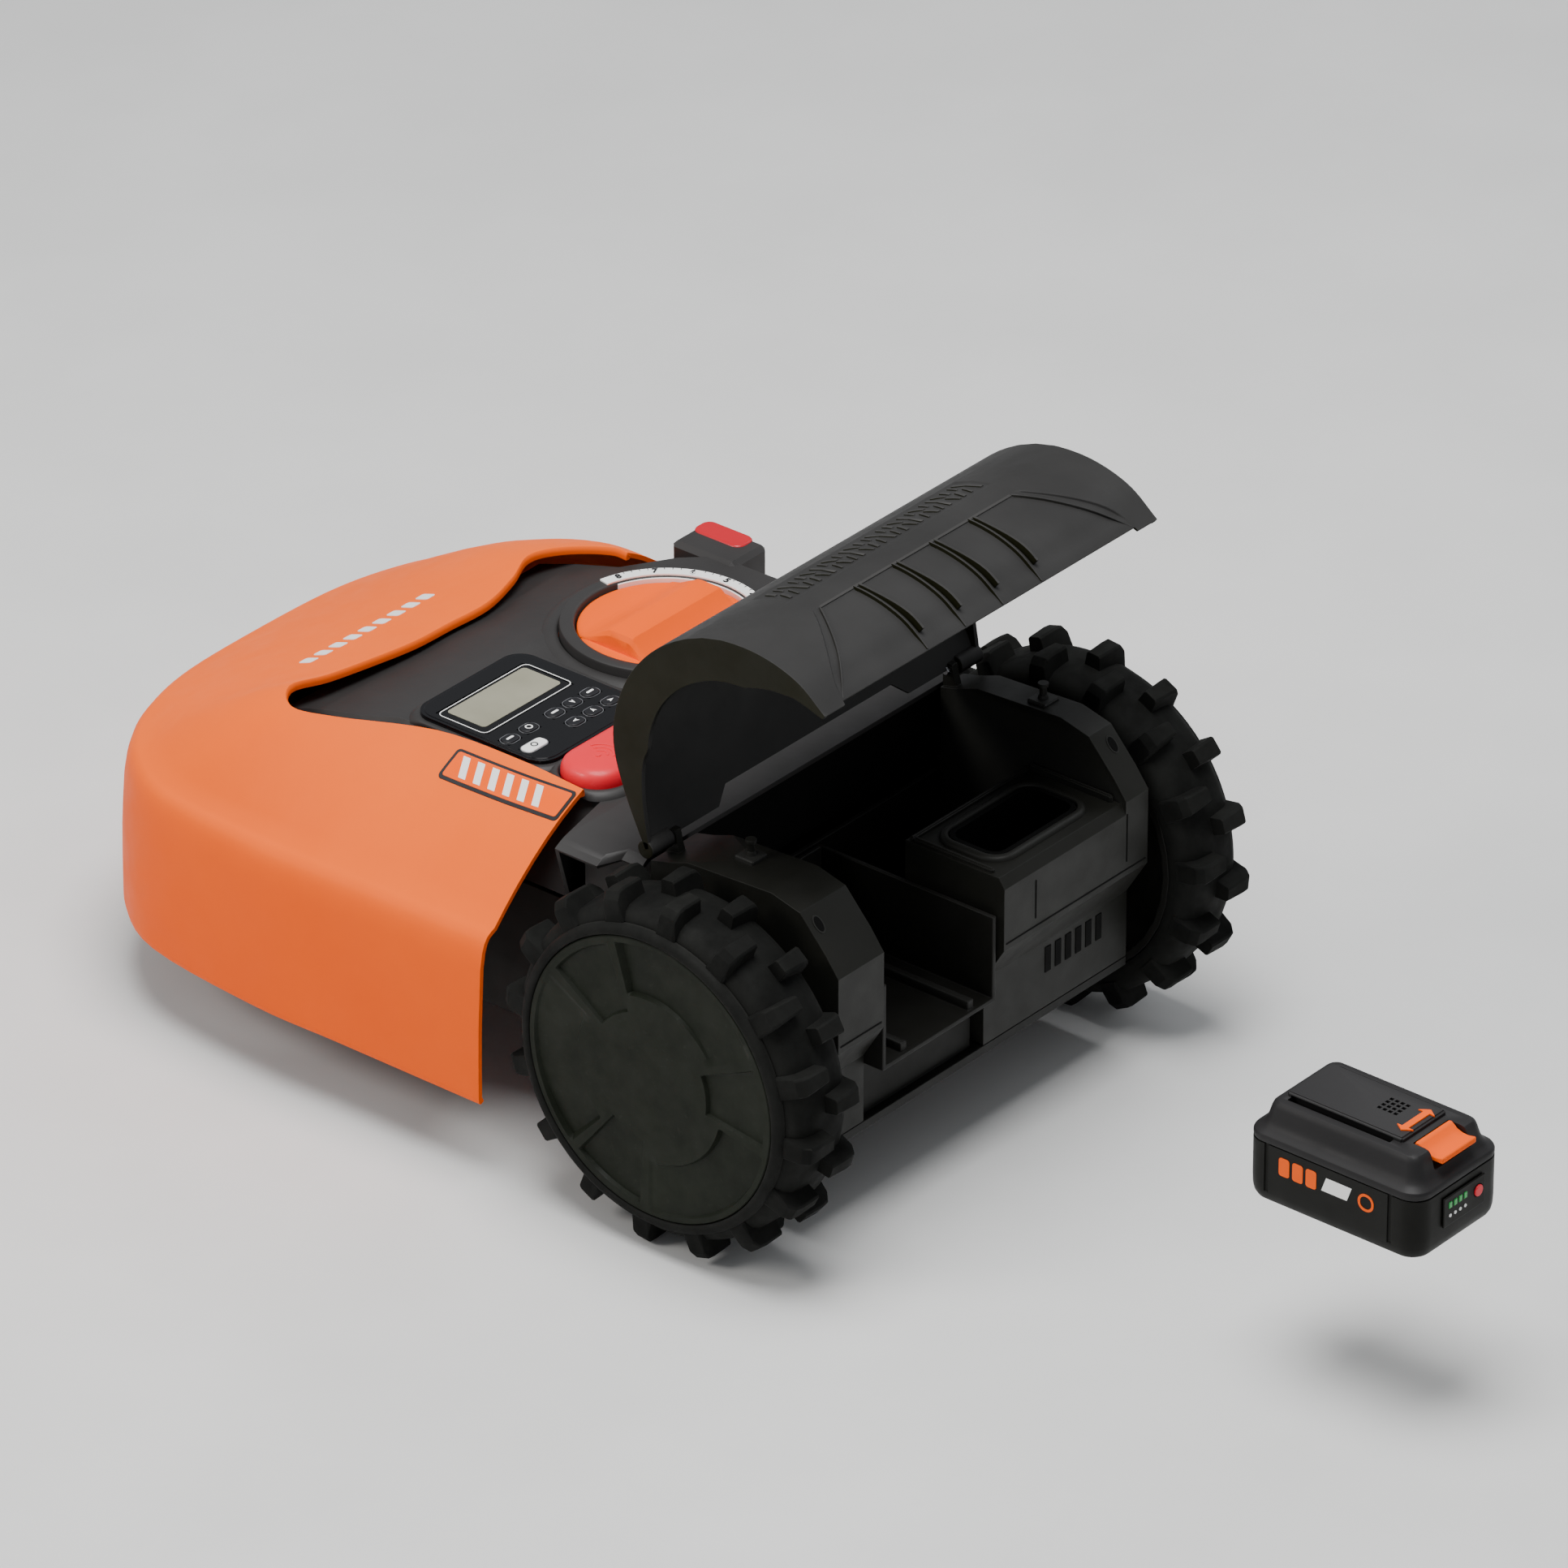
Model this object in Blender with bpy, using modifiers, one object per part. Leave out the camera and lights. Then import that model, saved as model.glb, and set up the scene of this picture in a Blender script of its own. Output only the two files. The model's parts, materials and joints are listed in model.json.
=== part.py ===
"""Robotic lawn mower, posed with the rear cover open and the battery pack drawn out along its rails.

Everything is modelled around a ground point under the drive axle: +X is the mower's left side,
-Y is the way it drives, +Z is up. The empty MOWER carries that point, shifted by AXLE_Y so that
the world origin is the middle of the footprint.
"""

import math

import bmesh
import bpy
from mathutils import Matrix, Vector

MM = 0.001
OBJECT_NAME = "robotic_lawn_mower"

# Overall layout
AXLE_Y = 18.3 * MM
AXLE_Z = 110 * MM
GAP = 0.3 * MM
WALL = 3 * MM

# Drive wheels
TYRE_RADIUS = 100 * MM
LUG_RADIUS = 109.6 * MM
BEAD_RADIUS = 84 * MM
CAP_RADIUS = 92 * MM
TYRE_IN_X = 148 * MM
TYRE_OUT_X = 194 * MM
CAP_OUT_X = 200 * MM
LUG_PAIRS = 16
AXLE_RADIUS = 6 * MM

# Castors
CASTOR_X = 115 * MM
CASTOR_STEM_Y = -352 * MM
CASTOR_TRAIL = 20 * MM
CASTOR_RADIUS = 34 * MM
CASTOR_WIDTH = 24 * MM

# Front shell: half width and length of the rim, heights of rim, crease and opening edge
SHELL_HALF_WIDTH = 197 * MM
SHELL_FRONT_Y = -470 * MM
SHELL_CORNER_Y = -290 * MM
SHELL_REAR_Y = -124 * MM
SHELL_POWER = 2.62
SHELL_RIM_Z = 45 * MM
SHELL_CREASE_Z = 142 * MM
SHELL_INNER_Z = 206 * MM
SHELL_WALL = 3 * MM
RIGHT_ARM_END_Y = -283 * MM

# Deck
DECK_Z = 200 * MM
DECK_REAR_Y = -56 * MM
DECK_FOOT_Z = 151 * MM

# Controls on the deck
PANEL_LOW = (8 * MM, -256 * MM)
PANEL_HIGH = (99 * MM, -159 * MM)
PANEL_TOP_Z = 205 * MM
WINDOW_LOW = (19 * MM, -243 * MM)
WINDOW_HIGH = (93 * MM, -205 * MM)
WINDOW_DEPTH = 2 * MM
KEY_SIZE = (11 * MM, 8 * MM)
WIDE_KEY = 17 * MM
FAR_KEY_ROW_Y = -192 * MM
NEAR_KEY_ROW_Y = -177 * MM
KEY_DEPTH = 3 * MM
KEY_TRAVEL = 0.8 * MM
STOP_CENTRE = (56 * MM, -136 * MM)
STOP_SIZE = (88 * MM, 40 * MM)
DIAL_CENTRE = (-68 * MM, -212 * MM)
DIAL_RADIUS = 50 * MM
DIAL_WELL_RADIUS = 60 * MM
DIAL_FLOOR_Z = 193 * MM
DIAL_TOP_Z = 203 * MM
DIAL_LIP_Z = 206 * MM
DIAL_SHAFT_RADIUS = 5 * MM
SCALE_INSET = 1.6 * MM
SCALE_WIDTH = 7 * MM
SCALE_ARC = (78, 261)

CONTACT_LOW = (-180 * MM, -276 * MM, 160 * MM)
CONTACT_HIGH = (-148 * MM, -230 * MM, 201 * MM)

# Rear housings, shelf and battery bay
HOUSING_OUT_X = 135 * MM
LEFT_HOUSING_IN_X = 96 * MM
STRIP_IN_X = -115 * MM
SHELF_IN_X = -8 * MM
MODULE_CENTRE = (-60 * MM, 44 * MM)
MODULE_SIZE = (76 * MM, 40 * MM)
BAY_LOW_X = -5 * MM
BAY_HIGH_X = 93 * MM

# Rear cover
HINGE_Y = -49 * MM
HINGE_Z = 211 * MM
COVER_HALF_WIDTH = 143 * MM
COVER_FLANGE = 25 * MM
HINGE_X = 128 * MM

# Battery pack, drawn out
PACK_X = (6 * MM, 81 * MM)
PACK_Y = (315 * MM, 431 * MM)
PACK_Z = (105 * MM, 167 * MM)

# Cutting gear
DISC_Y = -170 * MM
DISC_Z = 42 * MM
DISC_RADIUS = 78 * MM
BLADE_PIVOT_RADIUS = 70 * MM
BLADE_LENGTH = 34 * MM
CARRIAGE_RADIUS = 38 * MM


# ---------------------------------------------------------------- scene and materials

def clear_scene():
    for item in list(bpy.data.objects):
        bpy.data.objects.remove(item, do_unlink=True)


def new_collection(name):
    collection = bpy.data.collections.new(name)
    bpy.context.scene.collection.children.link(collection)
    return collection


def material(name, colour, roughness, metallic=0.0):
    made = bpy.data.materials.new(name)
    made.use_nodes = True
    made.diffuse_color = (*colour, 1.0)
    shader = made.node_tree.nodes["Principled BSDF"]
    shader.inputs["Base Color"].default_value = (*colour, 1.0)
    shader.inputs["Roughness"].default_value = roughness
    shader.inputs["Metallic"].default_value = metallic
    return made


clear_scene()
PARTS = new_collection(OBJECT_NAME)
CUTTERS = new_collection("cutters")
MOWER = bpy.data.objects.new("mower", None)
MOWER.location = (0, AXLE_Y, 0)
PARTS.objects.link(MOWER)

ORANGE = material("orange_shell", (1.0, 0.26, 0.03), 0.45)
DARK = material("dark_grey_plastic", (0.055, 0.055, 0.058), 0.55)
BLACK = material("black_plastic", (0.016, 0.017, 0.014), 0.6)
RUBBER = material("tyre_rubber", (0.016, 0.018, 0.018), 0.85)
OLIVE = material("hub_cap_plastic", (0.03, 0.034, 0.027), 0.5)
RED = material("red_plastic", (0.75, 0.03, 0.04), 0.4)
WHITE = material("scale_white", (0.85, 0.85, 0.83), 0.45)
GLOSS = material("panel_black", (0.008, 0.008, 0.01), 0.2)
GLASS = material("display_window", (0.45, 0.47, 0.4), 0.2)
STEEL = material("steel", (0.6, 0.6, 0.62), 0.3, 1.0)
SILVER = material("contact_plating", (0.8, 0.8, 0.82), 0.2, 1.0)
BOARD = material("circuit_board", (0.02, 0.16, 0.06), 0.5)
KEY = material("key_rubber", (0.12, 0.12, 0.13), 0.6)


# ---------------------------------------------------------------- mesh building

def block(low, high, bevel=0.0, segments=2):
    """A box between two corners, its edges rounded by bevel."""
    low, high = Vector(low), Vector(high)
    bm = bmesh.new()
    scale = Matrix.Diagonal((*(high - low), 1.0))
    bmesh.ops.create_cube(bm, size=1.0, matrix=Matrix.Translation((low + high) / 2) @ scale)
    if bevel:
        bmesh.ops.bevel(bm, geom=bm.edges[:], offset=bevel, segments=segments, affect="EDGES")
    return bm


def rod(start, end, radius, segments=24, end_radius=None):
    """A cylinder, or a cone, from start to end."""
    start, end = Vector(start), Vector(end)
    axis = end - start
    turn = axis.to_track_quat("Z", "X").to_matrix().to_4x4()
    bm = bmesh.new()
    bmesh.ops.create_cone(
        bm, cap_ends=True, segments=segments, radius1=radius,
        radius2=radius if end_radius is None else end_radius, depth=axis.length,
        matrix=Matrix.Translation((start + end) / 2) @ turn,
    )
    return bm


def prism(outline, low, high, axis="Z"):
    """An outline extruded from low to high along X, taking (y, z) points, or Z, taking (x, y)."""
    bm = bmesh.new()
    if axis == "X":
        corners = [bm.verts.new((low, a, b)) for a, b in outline]
        step = Vector((high - low, 0, 0))
    else:
        corners = [bm.verts.new((a, b, low)) for a, b in outline]
        step = Vector((0, 0, high - low))
    face = bm.faces.new(corners)
    grown = bmesh.ops.extrude_face_region(bm, geom=[face])
    moved = [item for item in grown["geom"] if isinstance(item, bmesh.types.BMVert)]
    bmesh.ops.translate(bm, verts=moved, vec=step)
    bmesh.ops.recalc_face_normals(bm, faces=bm.faces[:])
    return bm


def turned(profile, centre, segments=36):
    """A closed (x, radius) profile turned about the line along X through centre."""
    bm = bmesh.new()
    centre = Vector(centre)
    points = [bm.verts.new(centre + Vector((x, 0, radius))) for x, radius in profile]
    edges = [bm.edges.new((a, b)) for a, b in zip(points, points[1:] + points[:1])]
    bmesh.ops.spin(
        bm, geom=points + edges, cent=centre, axis=(1, 0, 0), angle=2 * math.pi,
        steps=segments, use_merge=True,
    )
    bmesh.ops.remove_doubles(bm, verts=bm.verts[:], dist=1e-6)
    loose = [edge for edge in bm.edges if not edge.link_faces]
    bmesh.ops.delete(bm, geom=loose, context="EDGES")
    bmesh.ops.recalc_face_normals(bm, faces=bm.faces[:])
    return bm


def loft(sections):
    """A solid through closed sections with equal numbers of points, capped at both ends."""
    bm = bmesh.new()
    rings = [[bm.verts.new(point) for point in section] for section in sections]
    count = len(rings[0])
    for near, far in zip(rings, rings[1:]):
        for i in range(count):
            j = (i + 1) % count
            bm.faces.new((near[i], near[j], far[j], far[i]))
    bm.faces.new(rings[0])
    bm.faces.new(rings[-1])
    bmesh.ops.recalc_face_normals(bm, faces=bm.faces[:])
    return bm


def merged(*shapes):
    """One mesh holding all the given ones as separate lumps."""
    whole = bmesh.new()
    for shape in shapes:
        carrier = bpy.data.meshes.new("carrier")
        shape.to_mesh(carrier)
        shape.free()
        whole.from_mesh(carrier)
        bpy.data.meshes.remove(carrier)
    return whole


def mirrored(bm):
    """The same shape on the other side of the X = 0 plane."""
    bmesh.ops.scale(bm, vec=(-1, 1, 1), verts=bm.verts[:])
    bmesh.ops.reverse_faces(bm, faces=bm.faces[:])
    return bm


def helper(name, bm):
    mesh = bpy.data.meshes.new(name)
    bm.to_mesh(mesh)
    bm.free()
    made = bpy.data.objects.new(name, mesh)
    made.parent = MOWER
    made.hide_render = True
    made.display_type = "WIRE"
    CUTTERS.objects.link(made)
    return made


def part(name, bm, look, pivot=(0, 0, 0), add=None, cut=None, smooth=30):
    """A named sub-part whose origin is pivot, with lumps joined on by add and taken off by cut."""
    pivot = Vector(pivot)
    bmesh.ops.translate(bm, verts=bm.verts[:], vec=-pivot)
    mesh = bpy.data.meshes.new(name)
    bm.to_mesh(mesh)
    bm.free()
    mesh.materials.append(look)
    mesh.shade_smooth()
    mesh.set_sharp_from_angle(angle=math.radians(smooth))
    made = bpy.data.objects.new(name, mesh)
    made.location = pivot
    made.parent = MOWER
    PARTS.objects.link(made)
    for operation, shape in (("UNION", add), ("DIFFERENCE", cut)):
        if shape is None:
            continue
        modifier = made.modifiers.new(operation.lower(), "BOOLEAN")
        modifier.operation = operation
        modifier.object = helper(f"{name}_{operation.lower()}", shape)
        modifier.use_self = True
    return made


# ---------------------------------------------------------------- outline maths

def shrunk(outline, distance):
    """A counter-clockwise outline moved inwards by distance on every side."""
    result = []
    count = len(outline)
    for i in range(count):
        before, here, after = (Vector(outline[(i + k) % count]) for k in (-1, 0, 1))
        first, second = (here - before).normalized(), (after - here).normalized()
        inward = Vector((-first.y, first.x)) + Vector((-second.y, second.x))
        inward.normalize()
        reach = distance / max(0.3, inward.dot(Vector((-first.y, first.x))))
        result.append(tuple(here + inward * reach))
    return result


def rounded_rectangle(centre, size, radius, steps=3):
    """A counter-clockwise rectangle with round corners."""
    points = []
    for turn, (sx, sy) in enumerate(((1, 1), (-1, 1), (-1, -1), (1, -1))):
        cx = centre[0] + sx * (size[0] / 2 - radius)
        cy = centre[1] + sy * (size[1] / 2 - radius)
        for k in range(steps + 1):
            angle = math.radians(90 * turn + 90 * k / steps)
            points.append((cx + radius * math.cos(angle), cy + radius * math.sin(angle)))
    return points


def ring_sector(centre, inner, outer, start, end, steps):
    """A counter-clockwise band of a circle between two angles in degrees."""
    def arc(radius, order):
        return [
            (centre[0] + radius * math.cos(a), centre[1] + radius * math.sin(a))
            for a in (math.radians(start + (end - start) * k / steps) for k in order)
        ]
    return arc(outer, range(steps + 1)) + arc(inner, range(steps, -1, -1))


def smooth_line(points, per_span):
    """Points on a Catmull-Rom curve through the given ones."""
    points = [Vector(p) for p in points]
    padded = [2 * points[0] - points[1]] + points + [2 * points[-1] - points[-2]]
    result = []
    for a, b, c, d in zip(padded, padded[1:], padded[2:], padded[3:]):
        for k in range(per_span):
            t = k / per_span
            result.append(
                0.5 * (2 * b + (c - a) * t + (2 * a - 5 * b + 4 * c - d) * t * t
                       + (3 * b - a - 3 * c + d) * t * t * t)
            )
    return result + [points[-1]]


# ---------------------------------------------------------------- front shell

def rim_stations():
    """Half of the rim, from the front centre round the corner and back along the side."""
    depth = SHELL_CORNER_Y - SHELL_FRONT_Y
    points = []
    for degrees in (0, 12, 24, 36, 50, 68, 90):
        a = math.radians(degrees)
        x = SHELL_HALF_WIDTH * math.sin(a) ** (2 / SHELL_POWER)
        points.append(Vector((x, SHELL_CORNER_Y - depth * abs(math.cos(a)) ** (2 / SHELL_POWER))))
    for y in (-231 * MM, -175 * MM, SHELL_REAR_Y):
        points.append(Vector((SHELL_HALF_WIDTH, y)))
    return points


def shell_section(rim, edge, side):
    """The outside of the shell from the rim up to the opening edge, at one station."""
    crease = SHELL_CREASE_Z + 8 * MM * side
    inward = (edge - rim).normalized()
    lower = (
        (0, SHELL_RIM_Z), (0.5 * MM, 92 * MM), (3 * MM, crease - 17 * MM),
        (7 * MM, crease - 5 * MM), (14 * MM, crease + 1 * MM),
    )
    points = [(*(rim + inward * reach), z) for reach, z in lower]
    start = rim + inward * lower[-1][0]
    top = SHELL_INNER_Z - 8 * MM * (1 - side)
    for v in (0.3, 0.65, 1.0):
        rise = 1.45 * v - 0.45 * v * v
        points.append((*start.lerp(edge, v), lower[-1][1] + (top - lower[-1][1]) * rise))
    return points


def make_front_shell():
    """One skin with a skirt, a creased brow and a U-shaped opening over the deck."""
    left_edge = [(0, -313), (30, -313), (60, -317), (92, -323), (116, -330), (134, -312),
                 (128, -285), (105, -231), (102, -174), (106, -124)]
    right_edge = [(0, -313), (-30, -311), (-60, -318), (-84, -327), (-102, -318), (-117, -298),
                  (-118, -281), (-108, -231), (-104, -174), (-104, -124)]
    rims = rim_stations()
    sections = []
    for edge_points, sign in ((left_edge, 1), (right_edge, -1)):
        half = []
        for i, (rim, edge) in enumerate(zip(rims, edge_points)):
            side = i / (len(rims) - 1)
            rim = Vector((rim.x * sign, rim.y))
            half.append(shell_section(rim, Vector(edge) * MM, side))
        sections.append(half)
    rows = sections[0][::-1] + sections[1][1:]
    bm = bmesh.new()
    grid = [[bm.verts.new(p) for p in row] for row in rows]
    for near, far in zip(grid, grid[1:]):
        for k in range(len(near) - 1):
            bm.faces.new((near[k], near[k + 1], far[k + 1], far[k]))
    bm.normal_update()
    if sum(face.normal.z for face in bm.faces) < 0:
        bmesh.ops.reverse_faces(bm, faces=bm.faces[:])
    shell = part("front_shell", bm, ORANGE)
    wall = shell.modifiers.new("wall", "SOLIDIFY")
    wall.thickness = SHELL_WALL
    wall.offset = -1
    cutter = helper("right_arm_cut", block(
        (-230 * MM, RIGHT_ARM_END_Y, SHELL_CREASE_Z + 2 * MM), (-60 * MM, -90 * MM, 260 * MM)))
    trim = shell.modifiers.new("right_arm", "BOOLEAN")
    trim.operation = "DIFFERENCE"
    trim.object = cutter


# ---------------------------------------------------------------- deck and controls

def deck_row(y, left_top, left_foot, right_top, right_foot, top, foot):
    """One crosswise line over the deck, foot to foot."""
    middle = (left_top + right_top) / 2
    lip = (top - foot) / 16
    return [
        (left_foot, y, foot), ((left_top + left_foot) / 2, y, (top + foot) / 2 + lip),
        (left_top, y, top), (left_top - 8 * MM, y, top), (middle, y, top),
        (right_top + 8 * MM, y, top), (right_top, y, top),
        ((right_top + right_foot) / 2, y, (top + foot) / 2 + lip), (right_foot, y, foot),
    ]


def key_places():
    """Centres of the nine keys of the keypad, and how wide each one is."""
    places = [(x * MM, FAR_KEY_ROW_Y, KEY_SIZE[0]) for x in (21, 36, 51, 73, 89)]
    places += [(x * MM, NEAR_KEY_ROW_Y, KEY_SIZE[0]) for x in (21, 36, 51)]
    return places + [(86 * MM, NEAR_KEY_ROW_Y, WIDE_KEY)]


def make_deck():
    flange = DECK_Z - 5 * MM
    side = 129 * MM
    rows = [
        (-352, 104, 122, -100, -122, 168, 151), (-338, 110, 128, -106, -128, 182, 151),
        (-312, 110, 130, -108, -130, 190, 151), (-285, 108, 130, -114, -146, 195, 151),
        (-262, 102, 130, -138, -170, 199, 151), (-245, 98, 130, -154, -176, 199, 151),
        (-180, 98, 130, -156, -176, 198.5, 151), (-117, 99, 130, -156, -176, 198, 151),
    ]
    lines = [deck_row(*(value * MM for value in row)) for row in rows]
    top = 199 * MM
    for y in (-106 * MM, -76 * MM):
        lines.append(deck_row(y, 144 * MM, 152 * MM, -164 * MM, -173 * MM, top, flange))
    for y in (-70 * MM, DECK_REAR_Y):
        lines.append(deck_row(y, 132 * MM, 138 * MM, -132 * MM, -138 * MM, top, flange))
    bm = bmesh.new()
    grid = [[bm.verts.new(p) for p in line] for line in lines]
    for near, far in zip(grid, grid[1:]):
        for k in range(len(near) - 1):
            bm.faces.new((near[k], near[k + 1], far[k + 1], far[k]))
    bm.normal_update()
    if sum(face.normal.z for face in bm.faces) < 0:
        bmesh.ops.reverse_faces(bm, faces=bm.faces[:])
    deck = part("top_deck", bm, DARK)
    wall = deck.modifiers.new("wall", "SOLIDIFY")
    wall.thickness = WALL
    wall.offset = -1
    walls = merged(*(
        block((sign * side - WALL / 2 * (1 + sign), -104 * MM, DECK_FOOT_Z),
              (sign * side + WALL / 2 * (1 - sign), DECK_REAR_Y - 1 * MM, DECK_Z - 3.4 * MM))
        for sign in (1, -1)))
    stop_hole = (STOP_SIZE[0] + 1.2 * MM, STOP_SIZE[1] + 1.2 * MM)
    holes = merged(
        rod((*DIAL_CENTRE, 180 * MM), (*DIAL_CENTRE, 230 * MM), DIAL_WELL_RADIUS + 0.4 * MM, 48),
        prism(rounded_rectangle(STOP_CENTRE, stop_hole, 18.6 * MM, 5), 170 * MM, 230 * MM),
        block((-190 * MM, -272 * MM, 184 * MM), (-163 * MM, -242 * MM, 198 * MM)),
    )
    fairing = block(CONTACT_LOW, CONTACT_HIGH, 3 * MM, 1)
    for operation, shape in (("UNION", merged(walls, fairing)), ("DIFFERENCE", holes)):
        modifier = deck.modifiers.new(operation.lower(), "BOOLEAN")
        modifier.operation = operation
        modifier.object = helper(f"deck_{operation.lower()}", shape)


def dial_grip():
    """The straight grip across the dial: steep behind, ramped in front, low at both ends."""
    full = ((-27, 0), (14, 0), (11, 10), (8, 11), (-10, 11), (-27, 1.5))
    low = ((-16, 0), (9, 0), (8, 3), (7, 4), (-9, 4), (-16, 1.5))
    sections = []
    for x, outline in ((-46, low), (-40, full), (40, full), (46, low)):
        sections.append([(DIAL_CENTRE[0] + x * MM, DIAL_CENTRE[1] + y * MM,
                          DIAL_TOP_Z + (z if z else -3) * MM) for y, z in outline])
    return loft(sections)


def make_dial():
    low = DIAL_FLOOR_Z - WALL
    well = rod((*DIAL_CENTRE, low), (*DIAL_CENTRE, DIAL_LIP_Z), DIAL_WELL_RADIUS, 48)
    hollow = rod((*DIAL_CENTRE, DIAL_FLOOR_Z), (*DIAL_CENTRE, DIAL_LIP_Z + WALL), DIAL_RADIUS + MM, 48)
    bore = rod((*DIAL_CENTRE, low - WALL), (*DIAL_CENTRE, DIAL_LIP_Z), DIAL_SHAFT_RADIUS + GAP, 24)
    part("dial_surround", well, DARK, cut=merged(hollow, bore))
    scale_in = DIAL_RADIUS + SCALE_INSET
    band = ring_sector(DIAL_CENTRE, scale_in, scale_in + SCALE_WIDTH, *SCALE_ARC, 20)
    part("height_scale", prism(band, DIAL_LIP_Z + GAP, DIAL_LIP_Z + 1.1 * MM), WHITE)
    pivot = (*DIAL_CENTRE, DIAL_FLOOR_Z)
    disc = rod((*DIAL_CENTRE, DIAL_FLOOR_Z + GAP), (*DIAL_CENTRE, DIAL_TOP_Z), DIAL_RADIUS, 48)
    part("height_dial", disc, ORANGE, pivot=pivot, add=dial_grip())
    shaft = rod((*DIAL_CENTRE, 84 * MM), pivot, DIAL_SHAFT_RADIUS, 16)
    part("dial_screw", shaft, STEEL, pivot=pivot)


def make_panel():
    centre = [(a + b) / 2 for a, b in zip(PANEL_LOW, PANEL_HIGH)]
    size = [b - a for a, b in zip(PANEL_LOW, PANEL_HIGH)]
    base = DECK_Z + 0.4 * MM
    plate = prism(rounded_rectangle(centre, size, 12 * MM), base, PANEL_TOP_Z)
    cuts = [block((*WINDOW_LOW, PANEL_TOP_Z - WINDOW_DEPTH), (*WINDOW_HIGH, PANEL_TOP_Z + WALL))]
    for x, y, width in key_places():
        half = (width / 2 + GAP, KEY_SIZE[1] / 2 + GAP)
        cuts.append(block((x - half[0], y - half[1], PANEL_TOP_Z - KEY_DEPTH),
                          (x + half[0], y + half[1], PANEL_TOP_Z + WALL)))
    part("control_panel", plate, GLOSS, cut=merged(*cuts))
    part("display_window", block(
        (WINDOW_LOW[0] + GAP, WINDOW_LOW[1] + GAP, PANEL_TOP_Z - WINDOW_DEPTH + GAP),
        (WINDOW_HIGH[0] - GAP, WINDOW_HIGH[1] - GAP, PANEL_TOP_Z - GAP)), GLASS)
    for number, (x, y, width) in enumerate(key_places(), 1):
        low = (x - width / 2, y - KEY_SIZE[1] / 2, PANEL_TOP_Z - KEY_DEPTH + KEY_TRAVEL + GAP)
        high = (x + width / 2, y + KEY_SIZE[1] / 2, PANEL_TOP_Z + 1 * MM)
        part(f"key_{number}", block(low, high), KEY, pivot=(x, y, PANEL_TOP_Z))


def make_stop_button():
    outline = rounded_rectangle(STOP_CENTRE, STOP_SIZE, 18 * MM, 5)
    crown = shrunk(outline, 4 * MM)
    sections = [
        [(*p, 191 * MM) for p in outline], [(*p, 207 * MM) for p in outline],
        [(*p, 211 * MM) for p in crown],
    ]
    part("stop_button", loft(sections), RED, pivot=(*STOP_CENTRE, DECK_Z))


def make_charging_contact():
    """The contact holder in the right shoulder, and the two sprung strips the dock touches."""
    strips_y = (-264 * MM, -250 * MM)
    part("contact_holder", block(
        (-182 * MM, -272 * MM + GAP, 184 * MM + GAP),
        (-163 * MM - GAP, -242 * MM - GAP, 198 * MM - GAP)),
        RED, cut=merged(*(
            block((-190 * MM, y - 3.3 * MM, 188 * MM), (-170 * MM, y + 3.3 * MM, 194.6 * MM))
            for y in strips_y)))
    for number, y in enumerate(strips_y, 1):
        part(f"contact_strip_{number}", block(
            (-185 * MM, y - 3 * MM, 188.3 * MM), (-170.3 * MM, y + 3 * MM, 194.3 * MM)), SILVER)


# ---------------------------------------------------------------- rear housings and battery bay

HOUSING_PROFILE = [(y * MM, z * MM) for y, z in (
    (-52, 62), (66, 62), (66, 104), (80, 127), (80, 174), (71, 186), (53, 206), (33, 211),
    (-26, 208), (-40, 203), (-52, 200))]
SHELF_PROFILE = [(y * MM, z * MM) for y, z in (
    (10, 62), (66, 62), (66, 104), (80, 127), (80, 166), (76, 172), (10, 172))]
SHAFT_HOLE = 9 * MM


def hinge_ear(low_x, high_x):
    """A lug on a housing that carries a hinge pin."""
    outline = [(HINGE_Y + a * MM, b * MM) for a, b in (
        (-3, 198), (8, 198), (5, 208), (3.5, 215), (-3.5, 215), (-3, 206))]
    return prism(outline, low_x, high_x, "X")


def pin_hole(low_x, high_x):
    return rod((low_x, HINGE_Y, HINGE_Z), (high_x, HINGE_Y, HINGE_Z), 2.8 * MM, 16)


def make_left_housing():
    low, high = LEFT_HOUSING_IN_X, HOUSING_OUT_X
    hollow = prism(shrunk(HOUSING_PROFILE, WALL), low + WALL, high - WALL, "X")
    mouth = block((low + WALL, -49 * MM, 50 * MM), (high - WALL, 63 * MM, 66 * MM))
    shaft = rod((high - 10 * MM, 0, AXLE_Z), (high + 10 * MM, 0, AXLE_Z), SHAFT_HOLE, 24)
    part("left_rear_housing", prism(HOUSING_PROFILE, low, high, "X"), BLACK,
         add=merged(hinge_ear(117 * MM, 122 * MM), latch_post(111 * MM, -1 * MM, 209 * MM)),
         cut=merged(hollow, mouth, shaft, pin_hole(112 * MM, 126 * MM)))


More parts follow.
